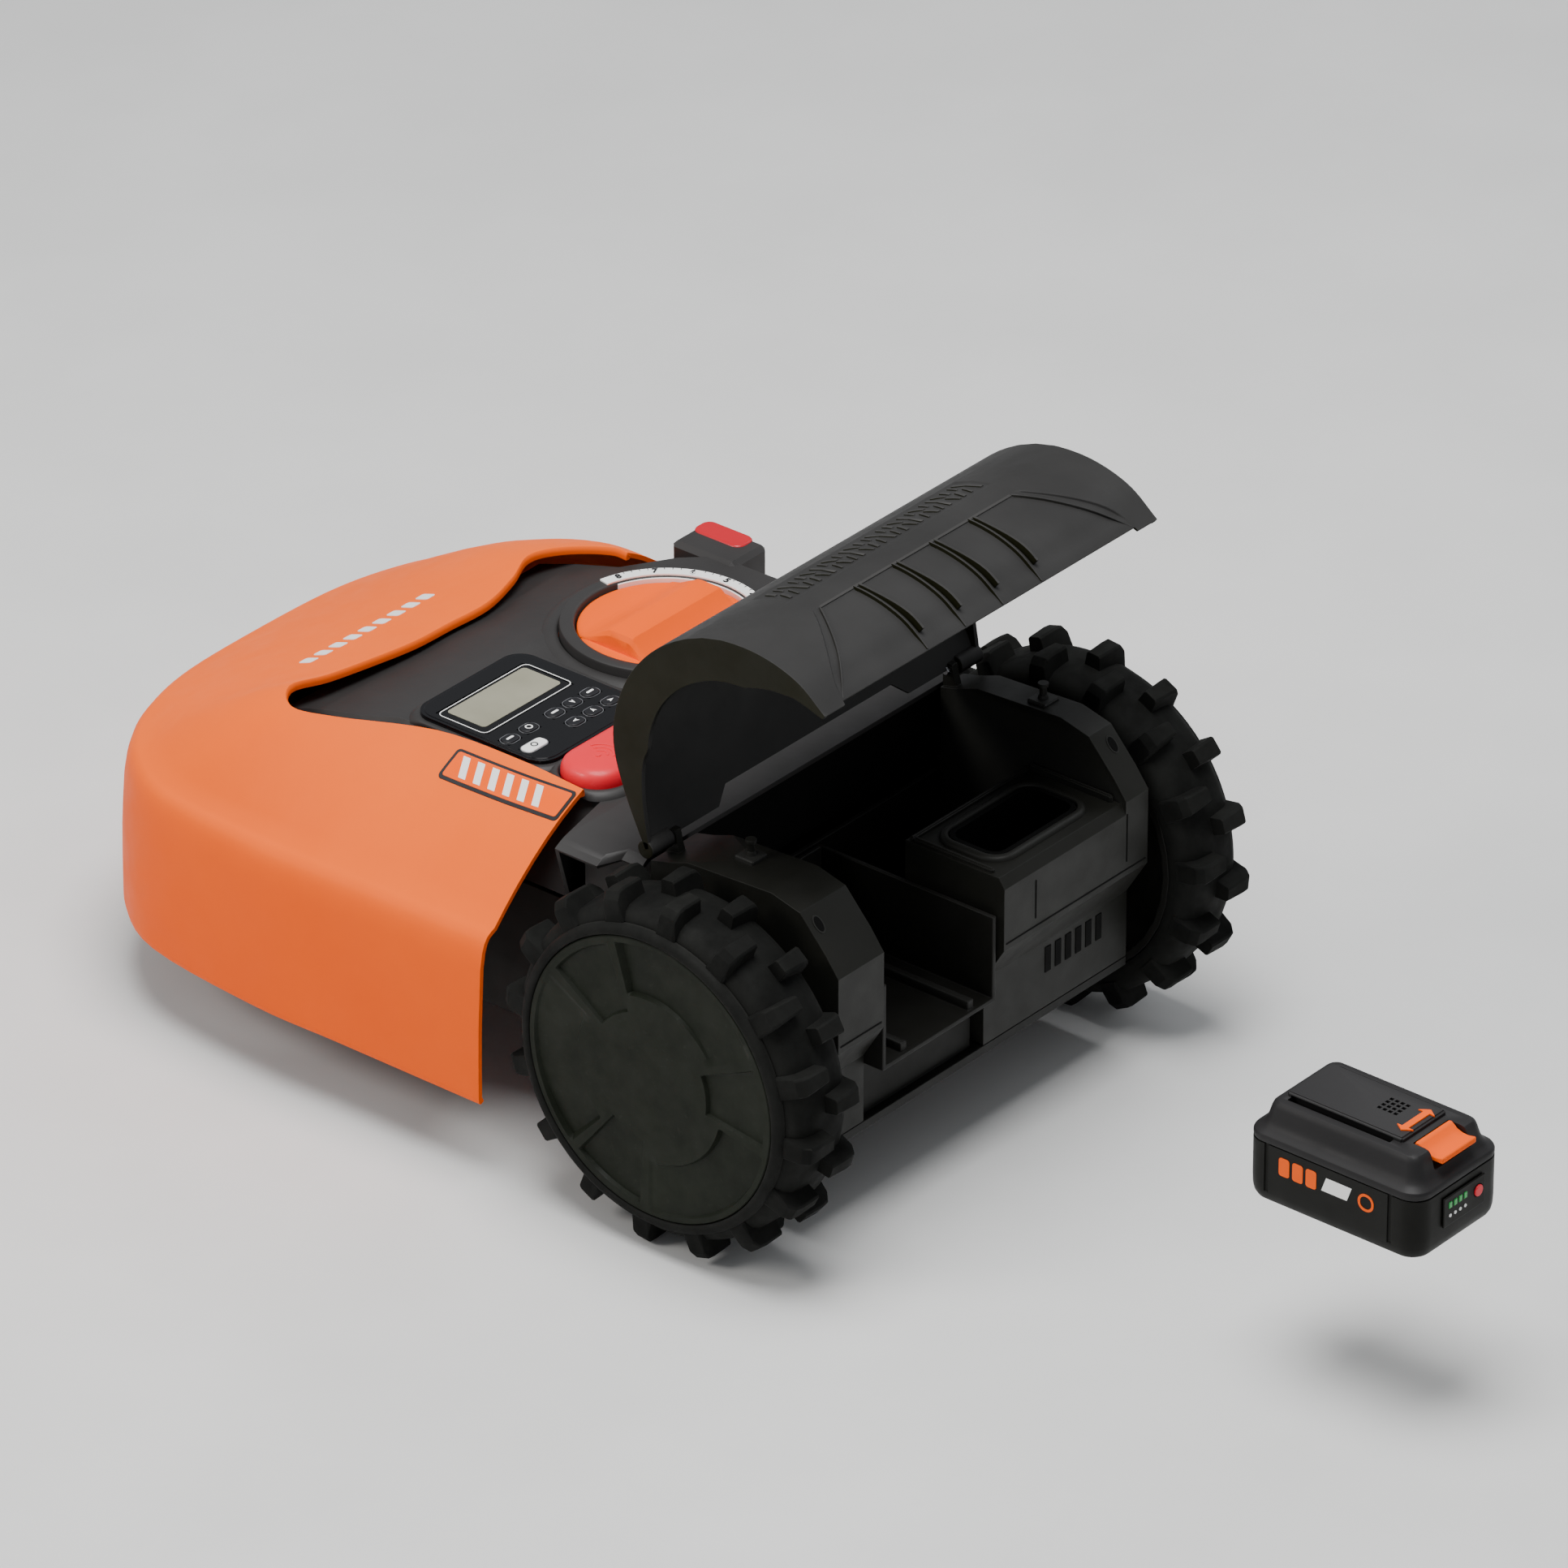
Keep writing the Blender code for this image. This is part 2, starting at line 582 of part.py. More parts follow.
def make_right_housing():
    low, high = -HOUSING_OUT_X, SHELF_IN_X
    shelf = prism(SHELF_PROFILE, STRIP_IN_X - 1 * MM, high, "X")
    strip_hollow = prism(shrunk(HOUSING_PROFILE, WALL), low + WALL, STRIP_IN_X - WALL, "X")
    shelf_hollow = prism(shrunk(SHELF_PROFILE, WALL), STRIP_IN_X - 4 * MM, high - WALL, "X")
    mouth = block((low + WALL, 13 * MM, 50 * MM), (high - WALL, 63 * MM, 66 * MM))
    strip_mouth = block((low + WALL, -49 * MM, 50 * MM), (STRIP_IN_X - WALL, 20 * MM, 66 * MM))
    shaft = rod((low - 10 * MM, 0, AXLE_Z), (low + 10 * MM, 0, AXLE_Z), SHAFT_HOLE, 24)
    slot = prism(rounded_rectangle(MODULE_CENTRE, MODULE_SIZE, 10 * MM), 160 * MM, 180 * MM)
    part("right_rear_housing", prism(HOUSING_PROFILE, low, STRIP_IN_X, "X"), BLACK,
         add=merged(shelf, hinge_ear(-122 * MM, -117 * MM),
                    latch_post(-125 * MM, 13 * MM, 209 * MM)),
         cut=merged(strip_hollow, shelf_hollow, mouth, strip_mouth, shaft, slot,
                    pin_hole(-126 * MM, -112 * MM)))
    inner = (MODULE_SIZE[0] - 2 * GAP, MODULE_SIZE[1] - 2 * GAP)
    cup = prism(rounded_rectangle(MODULE_CENTRE, inner, 9.7 * MM), 140 * MM, 174 * MM)
    room = (inner[0] - 2 * WALL, inner[1] - 2 * WALL)
    part("module_pocket", cup, BLACK, cut=prism(
        rounded_rectangle(MODULE_CENTRE, room, 7 * MM), 143 * MM, 180 * MM))


def latch_post(x, y, z):
    """A post on a housing that the closed cover clips over."""
    return rod((x, y, z - 3 * MM), (x, y, z + 12 * MM), 2.2 * MM, 12)


def make_hinge_pins():
    for side, sign in (("left", 1), ("right", -1)):
        part(f"{side}_hinge_pin", rod(
            (sign * 115 * MM, HINGE_Y, HINGE_Z), (sign * 134 * MM, HINGE_Y, HINGE_Z),
            2.5 * MM, 16), STEEL)


def make_battery_bay():
    floor_z, top_z, front, rear = 96 * MM, 150 * MM, -48 * MM, 77 * MM
    tray = block((BAY_LOW_X, front, floor_z), (BAY_HIGH_X, rear, top_z))
    room = block((BAY_LOW_X + WALL, front + WALL, floor_z + WALL),
                 (BAY_HIGH_X - WALL, rear + 10 * MM, top_z + 10 * MM))
    rails = merged(*(
        block((x, front + 20 * MM, floor_z + 1 * MM), (x + 5 * MM, rear - 2 * MM, 104.6 * MM))
        for x in (12 * MM, 70 * MM)))
    bay = part("battery_bay", tray, BLACK, cut=room)
    runner = bay.modifiers.new("rails", "BOOLEAN")
    runner.operation = "UNION"
    runner.object = helper("bay_rails", rails)
    part("bay_terminals", block((28 * MM, -44.7 * MM, 122 * MM), (59 * MM, -38 * MM, 148 * MM)),
         BLACK, cut=merged(*(
             block((x * MM, -41 * MM, 126 * MM), ((x + 1.5) * MM, -30 * MM, 144 * MM))
             for x in (34, 42, 50))))


# ---------------------------------------------------------------- rear cover

def cover_curve():
    """Outside of the cover from the hinge over the crown to the rear tip, as (y, z)."""
    shape = [(-49, 211), (-63, 241), (-71, 268), (-69, 293), (-57, 320), (-35, 343),
             (-5, 358), (27, 361), (56, 354), (77, 339)]
    return [point * MM for point in smooth_line(shape, 2)]


def cover_section(x, depth):
    """The cover's closed section at x, depth thick inwards from the outside curve."""
    outer = cover_curve()
    inner = []
    for i, point in enumerate(outer):
        ahead = outer[min(i + 1, len(outer) - 1)] - outer[max(i - 1, 0)]
        inward = Vector((ahead.y, -ahead.x)).normalized()
        inner.append(point + inward * depth * min(1.0, 0.12 + i / 5, 0.12 + (len(outer) - 1 - i) / 5))
    return [(x, *p) for p in outer] + [(x, *p) for p in reversed(inner)]


def make_rear_cover():
    """A curved shell with a crescent flange at each end and two hinge barrels."""
    edge = COVER_HALF_WIDTH
    sections = [
        cover_section(x, depth) for x, depth in (
            (-edge, COVER_FLANGE), (-edge + WALL, COVER_FLANGE), (-edge + WALL + GAP, WALL),
            (edge - WALL - GAP, WALL), (edge - WALL, COVER_FLANGE), (edge, COVER_FLANGE))]
    barrels = merged(*(
        rod((sign * (HINGE_X - 4 * MM), HINGE_Y, HINGE_Z), (sign * edge, HINGE_Y, HINGE_Z),
            5.5 * MM, 20) for sign in (1, -1)))
    bores = merged(*(
        rod((sign * 110 * MM, HINGE_Y, HINGE_Z), (sign * 150 * MM, HINGE_Y, HINGE_Z),
            2.8 * MM, 16) for sign in (1, -1)))
    relief = block((-HINGE_X + 4 * MM, HINGE_Y - 8 * MM, HINGE_Z - 10 * MM),
                   (HINGE_X - 4 * MM, HINGE_Y + 8 * MM, HINGE_Z + 7 * MM))
    part("rear_cover", loft(sections), DARK, pivot=(0, HINGE_Y, HINGE_Z),
         add=barrels, cut=merged(relief, bores))


# ---------------------------------------------------------------- wheels

def make_drive_wheel(side, sign):
    hub = (0, 0, AXLE_Z)
    shoulder = TYRE_RADIUS - 6 * MM
    tyre_profile = [
        (TYRE_IN_X, BEAD_RADIUS), (TYRE_OUT_X, BEAD_RADIUS), (TYRE_OUT_X, shoulder),
        (TYRE_OUT_X - 4 * MM, TYRE_RADIUS - 1.5 * MM), (TYRE_OUT_X - 12 * MM, TYRE_RADIUS),
        (TYRE_IN_X + 12 * MM, TYRE_RADIUS), (TYRE_IN_X + 4 * MM, TYRE_RADIUS - 1.5 * MM),
        (TYRE_IN_X, shoulder)]
    rim_profile = [(x * MM, r * MM) for x, r in (
        (150, 79), (168, 79), (168, 18), (154, 18), (154, 6.3), (190, 6.3), (190, 18),
        (174, 18), (174, 79), (193, 79), (193, 83.7), (150, 83.7))]
    cap_back = TYRE_OUT_X + GAP
    cap_profile = [
        (cap_back, 0), (CAP_OUT_X - 1.5 * MM, 0), (CAP_OUT_X - 1.5 * MM, 50 * MM),
        (CAP_OUT_X - 3.5 * MM, 54 * MM), (CAP_OUT_X - 3.5 * MM, 78 * MM), (CAP_OUT_X, 84 * MM),
        (CAP_OUT_X, CAP_RADIUS - 3 * MM), (CAP_OUT_X - 2.5 * MM, CAP_RADIUS),
        (cap_back, CAP_RADIUS)]
    lugs = []
    for i in range(2 * LUG_PAIRS):
        turn = Matrix.Rotation(math.pi * (i + 0.5) / LUG_PAIRS, 4, "X")
        low_x, high_x = (171, 196) if i % 2 else (147, 172)
        lug = block((low_x * MM, -5 * MM, 93 * MM), (high_x * MM, 5 * MM, LUG_RADIUS))
        bmesh.ops.transform(lug, matrix=Matrix.Translation(hub) @ turn, verts=lug.verts[:])
        lugs.append(lug)
    axle = rod((121 * MM, 0, AXLE_Z), (192 * MM, 0, AXLE_Z), AXLE_RADIUS, 20)
    shapes = [
        (f"{side}_tyre", turned(tyre_profile, hub, 48), RUBBER, merged(*lugs)),
        (f"{side}_wheel_rim", turned(rim_profile, hub, 32), BLACK, None),
        (f"{side}_hub_cap", turned(cap_profile, hub, 48), OLIVE, None),
        (f"{side}_drive_axle", axle, STEEL, None),
    ]
    for name, shape, look, extra in shapes:
        if sign < 0:
            shape = mirrored(shape)
            extra = mirrored(extra) if extra else None
        part(name, shape, look, pivot=hub, add=extra)


def make_castor(side, sign):
    """A trailing front castor: a swivelling fork with its moulded pin, and a free wheel."""
    stem = Vector((sign * CASTOR_X, CASTOR_STEM_Y, 0))
    hub = stem + Vector((0, CASTOR_TRAIL, CASTOR_RADIUS))
    half = CASTOR_WIDTH / 2 + 1.5 * MM
    outer = half + WALL
    crown = block(stem + Vector((-outer, -8 * MM, 70 * MM)),
                  stem + Vector((outer, CASTOR_TRAIL + 8 * MM, 75 * MM)))
    legs = [block((hub.x + a, hub.y - 7 * MM, hub.z - 7 * MM), (hub.x + b, hub.y + 7 * MM, 72 * MM))
            for a, b in ((-outer, -half), (half, outer))]
    post = rod(stem + Vector((0, 0, 73 * MM)), stem + Vector((0, 0, 108 * MM)), 5 * MM, 16)
    pin = rod(hub - Vector((outer + MM, 0, 0)), hub + Vector((outer + MM, 0, 0)), 3 * MM, 16)
    part(f"{side}_castor_fork", crown, BLACK, pivot=stem + Vector((0, 0, 75 * MM)),
         add=merged(*legs, post, pin))
    w, r = CASTOR_WIDTH / 2, CASTOR_RADIUS
    profile = [(-w, 3.3 * MM), (w, 3.3 * MM), (w, r - 5 * MM), (w - 4 * MM, r), (4 * MM - w, r),
               (-w, r - 5 * MM)]
    wheel = turned([(hub.x + x, radius) for x, radius in profile], (0, hub.y, hub.z), 36)
    part(f"{side}_castor_wheel", wheel, RUBBER, pivot=hub)


# ---------------------------------------------------------------- chassis and drive

def make_chassis():
    """The lower tub: a high front bay for the castors and a deep bay over the cutter."""
    top = 147 * MM
    nose = [(x * MM, y * MM) for x, y in (
        (128, -301), (-128, -301), (-128, -395), (-96, -428), (-40, -440), (40, -440),
        (96, -428), (128, -395))]
    nose = nose[::-1]
    main = block((-128 * MM, -300 * MM, 60 * MM), (128 * MM, -53 * MM, top))
    front = prism([(x, y + (5 * MM if y > -305 * MM else 0)) for x, y in nose], 88 * MM, top)
    rear = block((-HOUSING_OUT_X, -56 * MM, 56 * MM), (HOUSING_OUT_X, 66 * MM, 61.5 * MM))
    bosses = [rod((sign * CASTOR_X, CASTOR_STEM_Y, 78 * MM), (sign * CASTOR_X, CASTOR_STEM_Y, 104 * MM),
                  11 * MM, 20) for sign in (1, -1)]
    risers = block((-4 * MM, -40 * MM, 60 * MM), (92 * MM, 60 * MM, 95.6 * MM))
    tub = block((-125 * MM, -297 * MM, 81 * MM), (125 * MM, -56.3 * MM, 160 * MM))
    nose_room = prism(shrunk(nose, WALL), 91 * MM, 160 * MM)
    joining = block((-122 * MM, -320 * MM, 100 * MM), (122 * MM, -280 * MM, 160 * MM))
    recess = block((-125 * MM, -297 * MM, 50 * MM), (125 * MM, -59 * MM, 78 * MM))
    riser_room = block((-1 * MM, -37 * MM, 50 * MM), (89 * MM, 57 * MM, 92 * MM))
    shaft = rod((0, DISC_Y, 70 * MM), (0, DISC_Y, 90 * MM), CARRIAGE_RADIUS + 1.5 * MM, 32)
    stems = [rod((sign * CASTOR_X, CASTOR_STEM_Y, 70 * MM), (sign * CASTOR_X, CASTOR_STEM_Y, 112 * MM),
                 5.3 * MM, 16) for sign in (1, -1)]
    chassis = part("chassis_tub", main, BLACK, add=merged(front, rear, risers),
                   cut=merged(tub, nose_room, joining, recess, riser_room, shaft))
    for operation, shape in (("UNION", merged(*bosses)), ("DIFFERENCE", merged(*stems))):
        modifier = chassis.modifiers.new("castor_" + operation.lower(), "BOOLEAN")
        modifier.operation = operation
        modifier.object = helper(f"castor_seats_{operation.lower()}", shape)


def make_drive_motor(side, sign):
    """The flat gearbox that fills a rear housing, with its motor can forward of the axle."""
    low_x, high_x = (101, 131) if sign > 0 else (-131, -119)
    box = block((low_x * MM, -34 * MM, 78 * MM), (high_x * MM, 40 * MM, 146 * MM), 4 * MM, 1)
    end = Vector((sign * 140 * MM, 0, AXLE_Z))
    start = Vector((sign * 112 * MM, 0, AXLE_Z))
    part(f"{side}_wheel_gearbox", box, BLACK, cut=rod(start, end, AXLE_RADIUS + GAP, 20))


def make_main_board():
    board = block((-60 * MM, -418 * MM, 120 * MM), (60 * MM, -318 * MM, 121.6 * MM))
    chips = merged(*(
        block((x * MM, y * MM, 121 * MM), ((x + w) * MM, (y + d) * MM, (121 + h) * MM))
        for x, y, w, d, h in ((-50, -408, 30, 22, 6), (-8, -400, 22, 22, 3), (28, -410, 20, 40, 9),
                              (-50, -360, 26, 30, 8), (0, -356, 40, 20, 5))))
    part("main_board", board, BOARD, add=chips)


def make_shell_mount():
    """The rubber mount that carries the floating shell: two posts on a bar across the tub."""
    bar = block((-74 * MM, -380 * MM, 151 * MM), (74 * MM, -364 * MM, 154 * MM))
    posts = [rod((x * MM, -372 * MM, 152 * MM), (x * MM, -372 * MM, 164 * MM), 8 * MM, 16, 6 * MM)
             for x in (66, -66)]
    part("shell_mount", bar, RUBBER, add=merged(*posts))


# ---------------------------------------------------------------- cutting gear

def make_carriage():
    """The cup that carries the blade motor and rises on the dial's screw."""
    low, high = 71 * MM, 150 * MM
    cup = rod((0, DISC_Y, low), (0, DISC_Y, high), CARRIAGE_RADIUS, 32)
    arm_end = Vector((*DIAL_CENTRE, 0))
    arm_way = (arm_end - Vector((0, DISC_Y, 0))).normalized()
    across = Vector((-arm_way.y, arm_way.x, 0)) * 9 * MM
    start = Vector((0, DISC_Y, 0)) + arm_way * 34 * MM
    tip = arm_end + arm_way * 10 * MM
    outline = [tuple(p.xy) for p in (start - across, tip - across, tip + across, start + across)]
    arm = prism(outline, 120 * MM, 129 * MM)
    room = rod((0, DISC_Y, low + WALL), (0, DISC_Y, high + WALL), CARRIAGE_RADIUS - WALL, 32)
    shaft = rod((0, DISC_Y, 60 * MM), (0, DISC_Y, 90 * MM), 5 * MM, 16)
    nut = rod((*DIAL_CENTRE, 110 * MM), (*DIAL_CENTRE, 140 * MM), DIAL_SHAFT_RADIUS + GAP, 16)
    part("height_carriage", cup, BLACK, pivot=(0, DISC_Y, low), add=arm,
         cut=merged(room, shaft, nut))
    motor = rod((0, DISC_Y, low + WALL + GAP), (0, DISC_Y, 140 * MM), 30 * MM, 32)
    part("blade_motor", motor, STEEL, pivot=(0, DISC_Y, low), cut=rod(
        (0, DISC_Y, 60 * MM), (0, DISC_Y, 100 * MM), 4.6 * MM, 16))


def make_cutting_disc():
    top = DISC_Z + 6 * MM
    disc = rod((0, DISC_Y, DISC_Z), (0, DISC_Y, top), DISC_RADIUS, 48)
    spindle = rod((0, DISC_Y, top - 2 * MM), (0, DISC_Y, 96 * MM), 4 * MM, 16)
    pivots = []
    for k in range(3):
        a = math.radians(90 + 120 * k)
        reach = BLADE_PIVOT_RADIUS * Vector((math.cos(a), math.sin(a), 0))
        pivots.append(Vector((0, DISC_Y, 0)) + reach)
    collar = rod((0, DISC_Y, top - MM), (0, DISC_Y, 60 * MM), 14 * MM, 24)
    part("cutting_disc", disc, BLACK, pivot=(0, DISC_Y, DISC_Z), add=merged(spindle, collar),
         cut=merged(*(rod(p + Vector((0, 0, 30 * MM)), p + Vector((0, 0, 60 * MM)), 2.8 * MM, 12)
                      for p in pivots)))
    for k, p in enumerate(pivots):
        part(f"blade_screw_{k + 1}", turned_screw(p, DISC_Z - 4.2 * MM, top - MM), STEEL)
        a = math.radians(90 + 120 * k)
        out = Vector((math.cos(a), math.sin(a), 0))
        side = Vector((-out.y, out.x, 0)) * 9 * MM
        near, far = p - out * 8 * MM, p + out * (BLADE_LENGTH - 8 * MM)
        outline = [tuple(q.xy) for q in (near - side, far - side, far + side, near + side)]
        part(f"blade_{k + 1}", prism(outline, DISC_Z - 2.4 * MM, DISC_Z - 1.4 * MM), STEEL,
             pivot=(*p.xy, DISC_Z - 2 * MM),
             cut=rod(p + Vector((0, 0, 30 * MM)), p + Vector((0, 0, 50 * MM)), 3 * MM, 12))


def turned_screw(place, low, high):
    """A round-headed blade screw with its head below."""
    head = place + Vector((0, 0, low))
    bm = rod(head, head + Vector((0, 0, 1.5 * MM)), 5 * MM, 12)
    cap = [face for face in bm.faces if face.normal.z > 0.9]
    bmesh.ops.inset_region(bm, faces=cap, thickness=2.5 * MM)
    stem = bmesh.ops.extrude_face_region(bm, geom=cap)
    lifted = [item for item in stem["geom"] if isinstance(item, bmesh.types.BMVert)]
    bmesh.ops.translate(bm, verts=lifted, vec=(0, 0, high - low - 1.5 * MM))
    bmesh.ops.delete(bm, geom=cap, context="FACES_ONLY")
    bmesh.ops.recalc_face_normals(bm, faces=bm.faces[:])
    return bm


# ---------------------------------------------------------------- battery pack

def make_battery():
    (x0, x1), (y0, y1), (z0, z1) = PACK_X, PACK_Y, PACK_Z
    split = 143 * MM
    middle = ((x0 + x1) / 2, (y0 + y1) / 2)
    size = (x1 - x0, y1 - y0)

    def layer(inset, z):
        """The pack's rounded plan at height z, drawn in by inset."""
        plan = (size[0] - 2 * inset, size[1] - 2 * inset)
        return [(*p, z) for p in rounded_rectangle(middle, plan, max(9 * MM - inset, 2 * MM))]

    base = [layer(3 * MM, z0), layer(0, z0 + 4 * MM), layer(0, split)]
    part("battery_base", loft(base), BLACK, pivot=(*middle, z0))
    upper = [layer(0, split + GAP), layer(0, split + 7 * MM), layer(8 * MM, z1 - 5 * MM),
             layer(11 * MM, z1 - 3 * MM)]
    tower = block((24 * MM, y0 + 14 * MM, z1 - 9 * MM), (63 * MM, y1 - 26 * MM, z1))
    pocket = block((28 * MM, y1 - 21 * MM, z1 - 14 * MM), (59 * MM, y1 + 9 * MM, z1 + 9 * MM))
    part("battery_top", loft(upper), DARK, pivot=(*middle, z0), add=tower, cut=pocket)
    part("battery_release", block(
        (28.4 * MM, y1 - 20.6 * MM, z1 - 9.5 * MM), (58.6 * MM, y1 - 1.5 * MM, z1 - 2 * MM),
        1.5 * MM, 1), ORANGE, pivot=(43.5 * MM, y1 - 11 * MM, z1 - 3 * MM))
    plate = block((24 * MM, y1 + GAP, 120 * MM), (60 * MM, y1 + 1.5 * MM, 138 * MM))
    button_at = Vector((30 * MM, y1, 130 * MM))
    part("gauge_plate", plate, GLOSS, cut=rod(
        button_at - Vector((0, 2 * MM, 0)), button_at + Vector((0, 5 * MM, 0)), 3.8 * MM, 16))
    part("gauge_button", rod(
        button_at + Vector((0, 1.0 * MM, 0)), button_at + Vector((0, 2.4 * MM, 0)), 3.4 * MM, 16),
        RED, pivot=button_at)


def main():
    make_front_shell()
    make_deck()
    make_dial()
    make_panel()
    make_stop_button()
    make_charging_contact()
    make_left_housing()
    make_right_housing()
    make_hinge_pins()
    make_battery_bay()
    make_rear_cover()
    for side, sign in (("left", 1), ("right", -1)):
        make_drive_wheel(side, sign)
        make_castor(side, sign)
        make_drive_motor(side, sign)
    make_chassis()
    make_main_board()
    make_shell_mount()
    make_carriage()
    make_cutting_disc()
    make_battery()


main()
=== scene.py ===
"""Looks of the robotic lawn mower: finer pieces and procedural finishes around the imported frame."""

import json
import math

import bmesh
import bpy
from mathutils import Matrix, Vector
from mathutils.bvhtree import BVHTree


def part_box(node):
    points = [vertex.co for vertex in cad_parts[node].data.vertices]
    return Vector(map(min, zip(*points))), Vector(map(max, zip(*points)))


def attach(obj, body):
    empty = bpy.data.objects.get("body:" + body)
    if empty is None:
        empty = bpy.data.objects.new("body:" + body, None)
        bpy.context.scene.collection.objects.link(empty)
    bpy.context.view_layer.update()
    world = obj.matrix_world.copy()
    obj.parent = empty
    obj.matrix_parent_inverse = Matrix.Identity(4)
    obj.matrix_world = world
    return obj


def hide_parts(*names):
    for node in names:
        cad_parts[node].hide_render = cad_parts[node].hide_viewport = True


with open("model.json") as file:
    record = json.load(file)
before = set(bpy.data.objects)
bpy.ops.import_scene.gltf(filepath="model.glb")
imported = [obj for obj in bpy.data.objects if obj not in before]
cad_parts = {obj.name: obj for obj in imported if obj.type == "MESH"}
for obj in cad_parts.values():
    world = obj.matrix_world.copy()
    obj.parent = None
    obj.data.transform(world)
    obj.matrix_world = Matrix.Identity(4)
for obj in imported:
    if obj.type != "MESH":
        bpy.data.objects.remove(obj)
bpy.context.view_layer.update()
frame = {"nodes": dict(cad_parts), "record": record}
BODIES = frame["record"]["behaviour"]["bodies"]
BODY_OF = {node: body for body, nodes in BODIES.items() for node in nodes}
MM = 0.001

# Vertices nearer than this are one: in a mesh in millimetres, and in one in metres.
WELD_MM = 1e-4
WELD_M = 1e-6
# Faces that meet at less than this are one flat face.
FLAT = math.radians(1)
# Past every coordinate in millimetres.
FAR = 1000


def box_mm(node):
    """A node's lowest and highest corners in millimetres from the ground under the axle."""
    low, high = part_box(node)
    return (low - AXLE) / MM, (high - AXLE) / MM


def middle_of(node):
    """The middle of a node's box, in metres."""
    low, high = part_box(node)
    return (low + high) / 2


AXLE = Vector((0, middle_of("left_tyre").y, 0))
AXLE_Z = middle_of("left_tyre").z / MM


# ---- mesh building, in millimetres

def block(low, high, bevel=0.0, segments=2):
    """A box between two corners, with rounded edges when bevel is set."""
    low, high = Vector(low), Vector(high)
    bm = bmesh.new()
    scale = Matrix.Diagonal((*(high - low), 1.0))
    bmesh.ops.create_cube(bm, size=1.0, matrix=Matrix.Translation((low + high) / 2) @ scale)
    if bevel:
        bmesh.ops.bevel(bm, geom=bm.edges[:], offset=bevel, segments=segments, affect="EDGES")
    return bm


def rod(start, end, radius, segments, end_radius=None):
    """A round bar between two points, which tapers when an end radius is set."""
    start, end = Vector(start), Vector(end)
    axis = end - start
    turn = axis.to_track_quat("Z", "X").to_matrix().to_4x4()
    bm = bmesh.new()
    bmesh.ops.create_cone(
        bm, cap_ends=True, segments=segments, radius1=radius,
        radius2=radius if end_radius is None else end_radius, depth=axis.length,
        matrix=Matrix.Translation((start + end) / 2) @ turn)
    return bm


def prism(outline, low, high, axis="Z"):
    """An outline of (x, y) points extruded along Z, or of (y, z) points along X."""
    bm = bmesh.new()
    sideways = axis == "X"
    corners = [bm.verts.new((low, a, b) if sideways else (a, b, low)) for a, b in outline]
    step = Vector((high - low, 0, 0) if sideways else (0, 0, high - low))
    grown = bmesh.ops.extrude_face_region(bm, geom=[bm.faces.new(corners)])
    moved = [item for item in grown["geom"] if isinstance(item, bmesh.types.BMVert)]
    bmesh.ops.translate(bm, verts=moved, vec=step)
    bmesh.ops.recalc_face_normals(bm, faces=bm.faces[:])
    return bm


def turned(profile, centre, segments, axis="X"):
    """A closed profile of (along, radius) points turned about a line through centre."""
    bm = bmesh.new()
    centre, way, out = Vector(centre), Vector((0, 0, 1)), Vector((1, 0, 0))
    if axis == "X":
        way, out = out, way
    points = [bm.verts.new(centre + way * along + out * radius) for along, radius in profile]
    edges = [bm.edges.new(pair) for pair in zip(points, points[1:] + points[:1])]
    bmesh.ops.spin(bm, geom=points + edges, cent=centre, axis=way, angle=2 * math.pi,
                   steps=segments, use_merge=True)
    bmesh.ops.remove_doubles(bm, verts=bm.verts[:], dist=WELD_MM)
    loose = [edge for edge in bm.edges if not edge.link_faces]
    bmesh.ops.delete(bm, geom=loose, context="EDGES")
    bmesh.ops.recalc_face_normals(bm, faces=bm.faces[:])
    return bm


def loft(sections, closed_ends=True, ring=True):
    """Faces through sections of equal length. A ring section closes on itself."""
    bm = bmesh.new()
    rings = [[bm.verts.new(point) for point in section] for section in sections]
    count = len(rings[0])
    for near, far in zip(rings, rings[1:]):
        for i in range(count if ring else count - 1):
            j = (i + 1) % count
            bm.faces.new((near[i], near[j], far[j], far[i]))
    if closed_ends and ring:
        bm.faces.new(rings[0])
        bm.faces.new(rings[-1])
    bmesh.ops.recalc_face_normals(bm, faces=bm.faces[:])
    return bm


def merged(shapes):
    """One mesh that holds all the shapes, which are used up."""
    whole = bmesh.new()
    for shape in shapes:
        carrier = bpy.data.meshes.new("carrier")
        shape.to_mesh(carrier)
        shape.free()
        whole.from_mesh(carrier)
        bpy.data.meshes.remove(carrier)
    return whole


def mirrored(bm):
    """The shape on the other side of the mower's middle plane."""
    bmesh.ops.scale(bm, vec=(-1, 1, 1), verts=bm.verts[:])
    bmesh.ops.reverse_faces(bm, faces=bm.faces[:])
    return bm


def faces_up(bm):
    """Turns an open skin so that it faces upwards and outwards."""
    bm.normal_update()
    if sum(face.normal.z * face.calc_area() for face in bm.faces) < 0:
        bmesh.ops.reverse_faces(bm, faces=bm.faces[:])
    return bm


def smooth_line(points, per_span):
    """Points on a Catmull-Rom curve through the given ones."""
    points = [Vector(p) for p in points]
    padded = [2 * points[0] - points[1]] + points + [2 * points[-1] - points[-2]]
    result = []
    for a, b, c, d in zip(padded, padded[1:], padded[2:], padded[3:]):
        for k in range(per_span):
            t = k / per_span
            result.append(0.5 * (2 * b + (c - a) * t + (2 * a - 5 * b + 4 * c - d) * t * t
                                 + (3 * b - a - 3 * c + d) * t * t * t))
    return result + [points[-1]]


def polar(centre, radius, degrees):
    """The (x, y) point at a radius and an angle from a centre."""
    a = math.radians(degrees)
    return centre[0] + radius * math.cos(a), centre[1] + radius * math.sin(a)


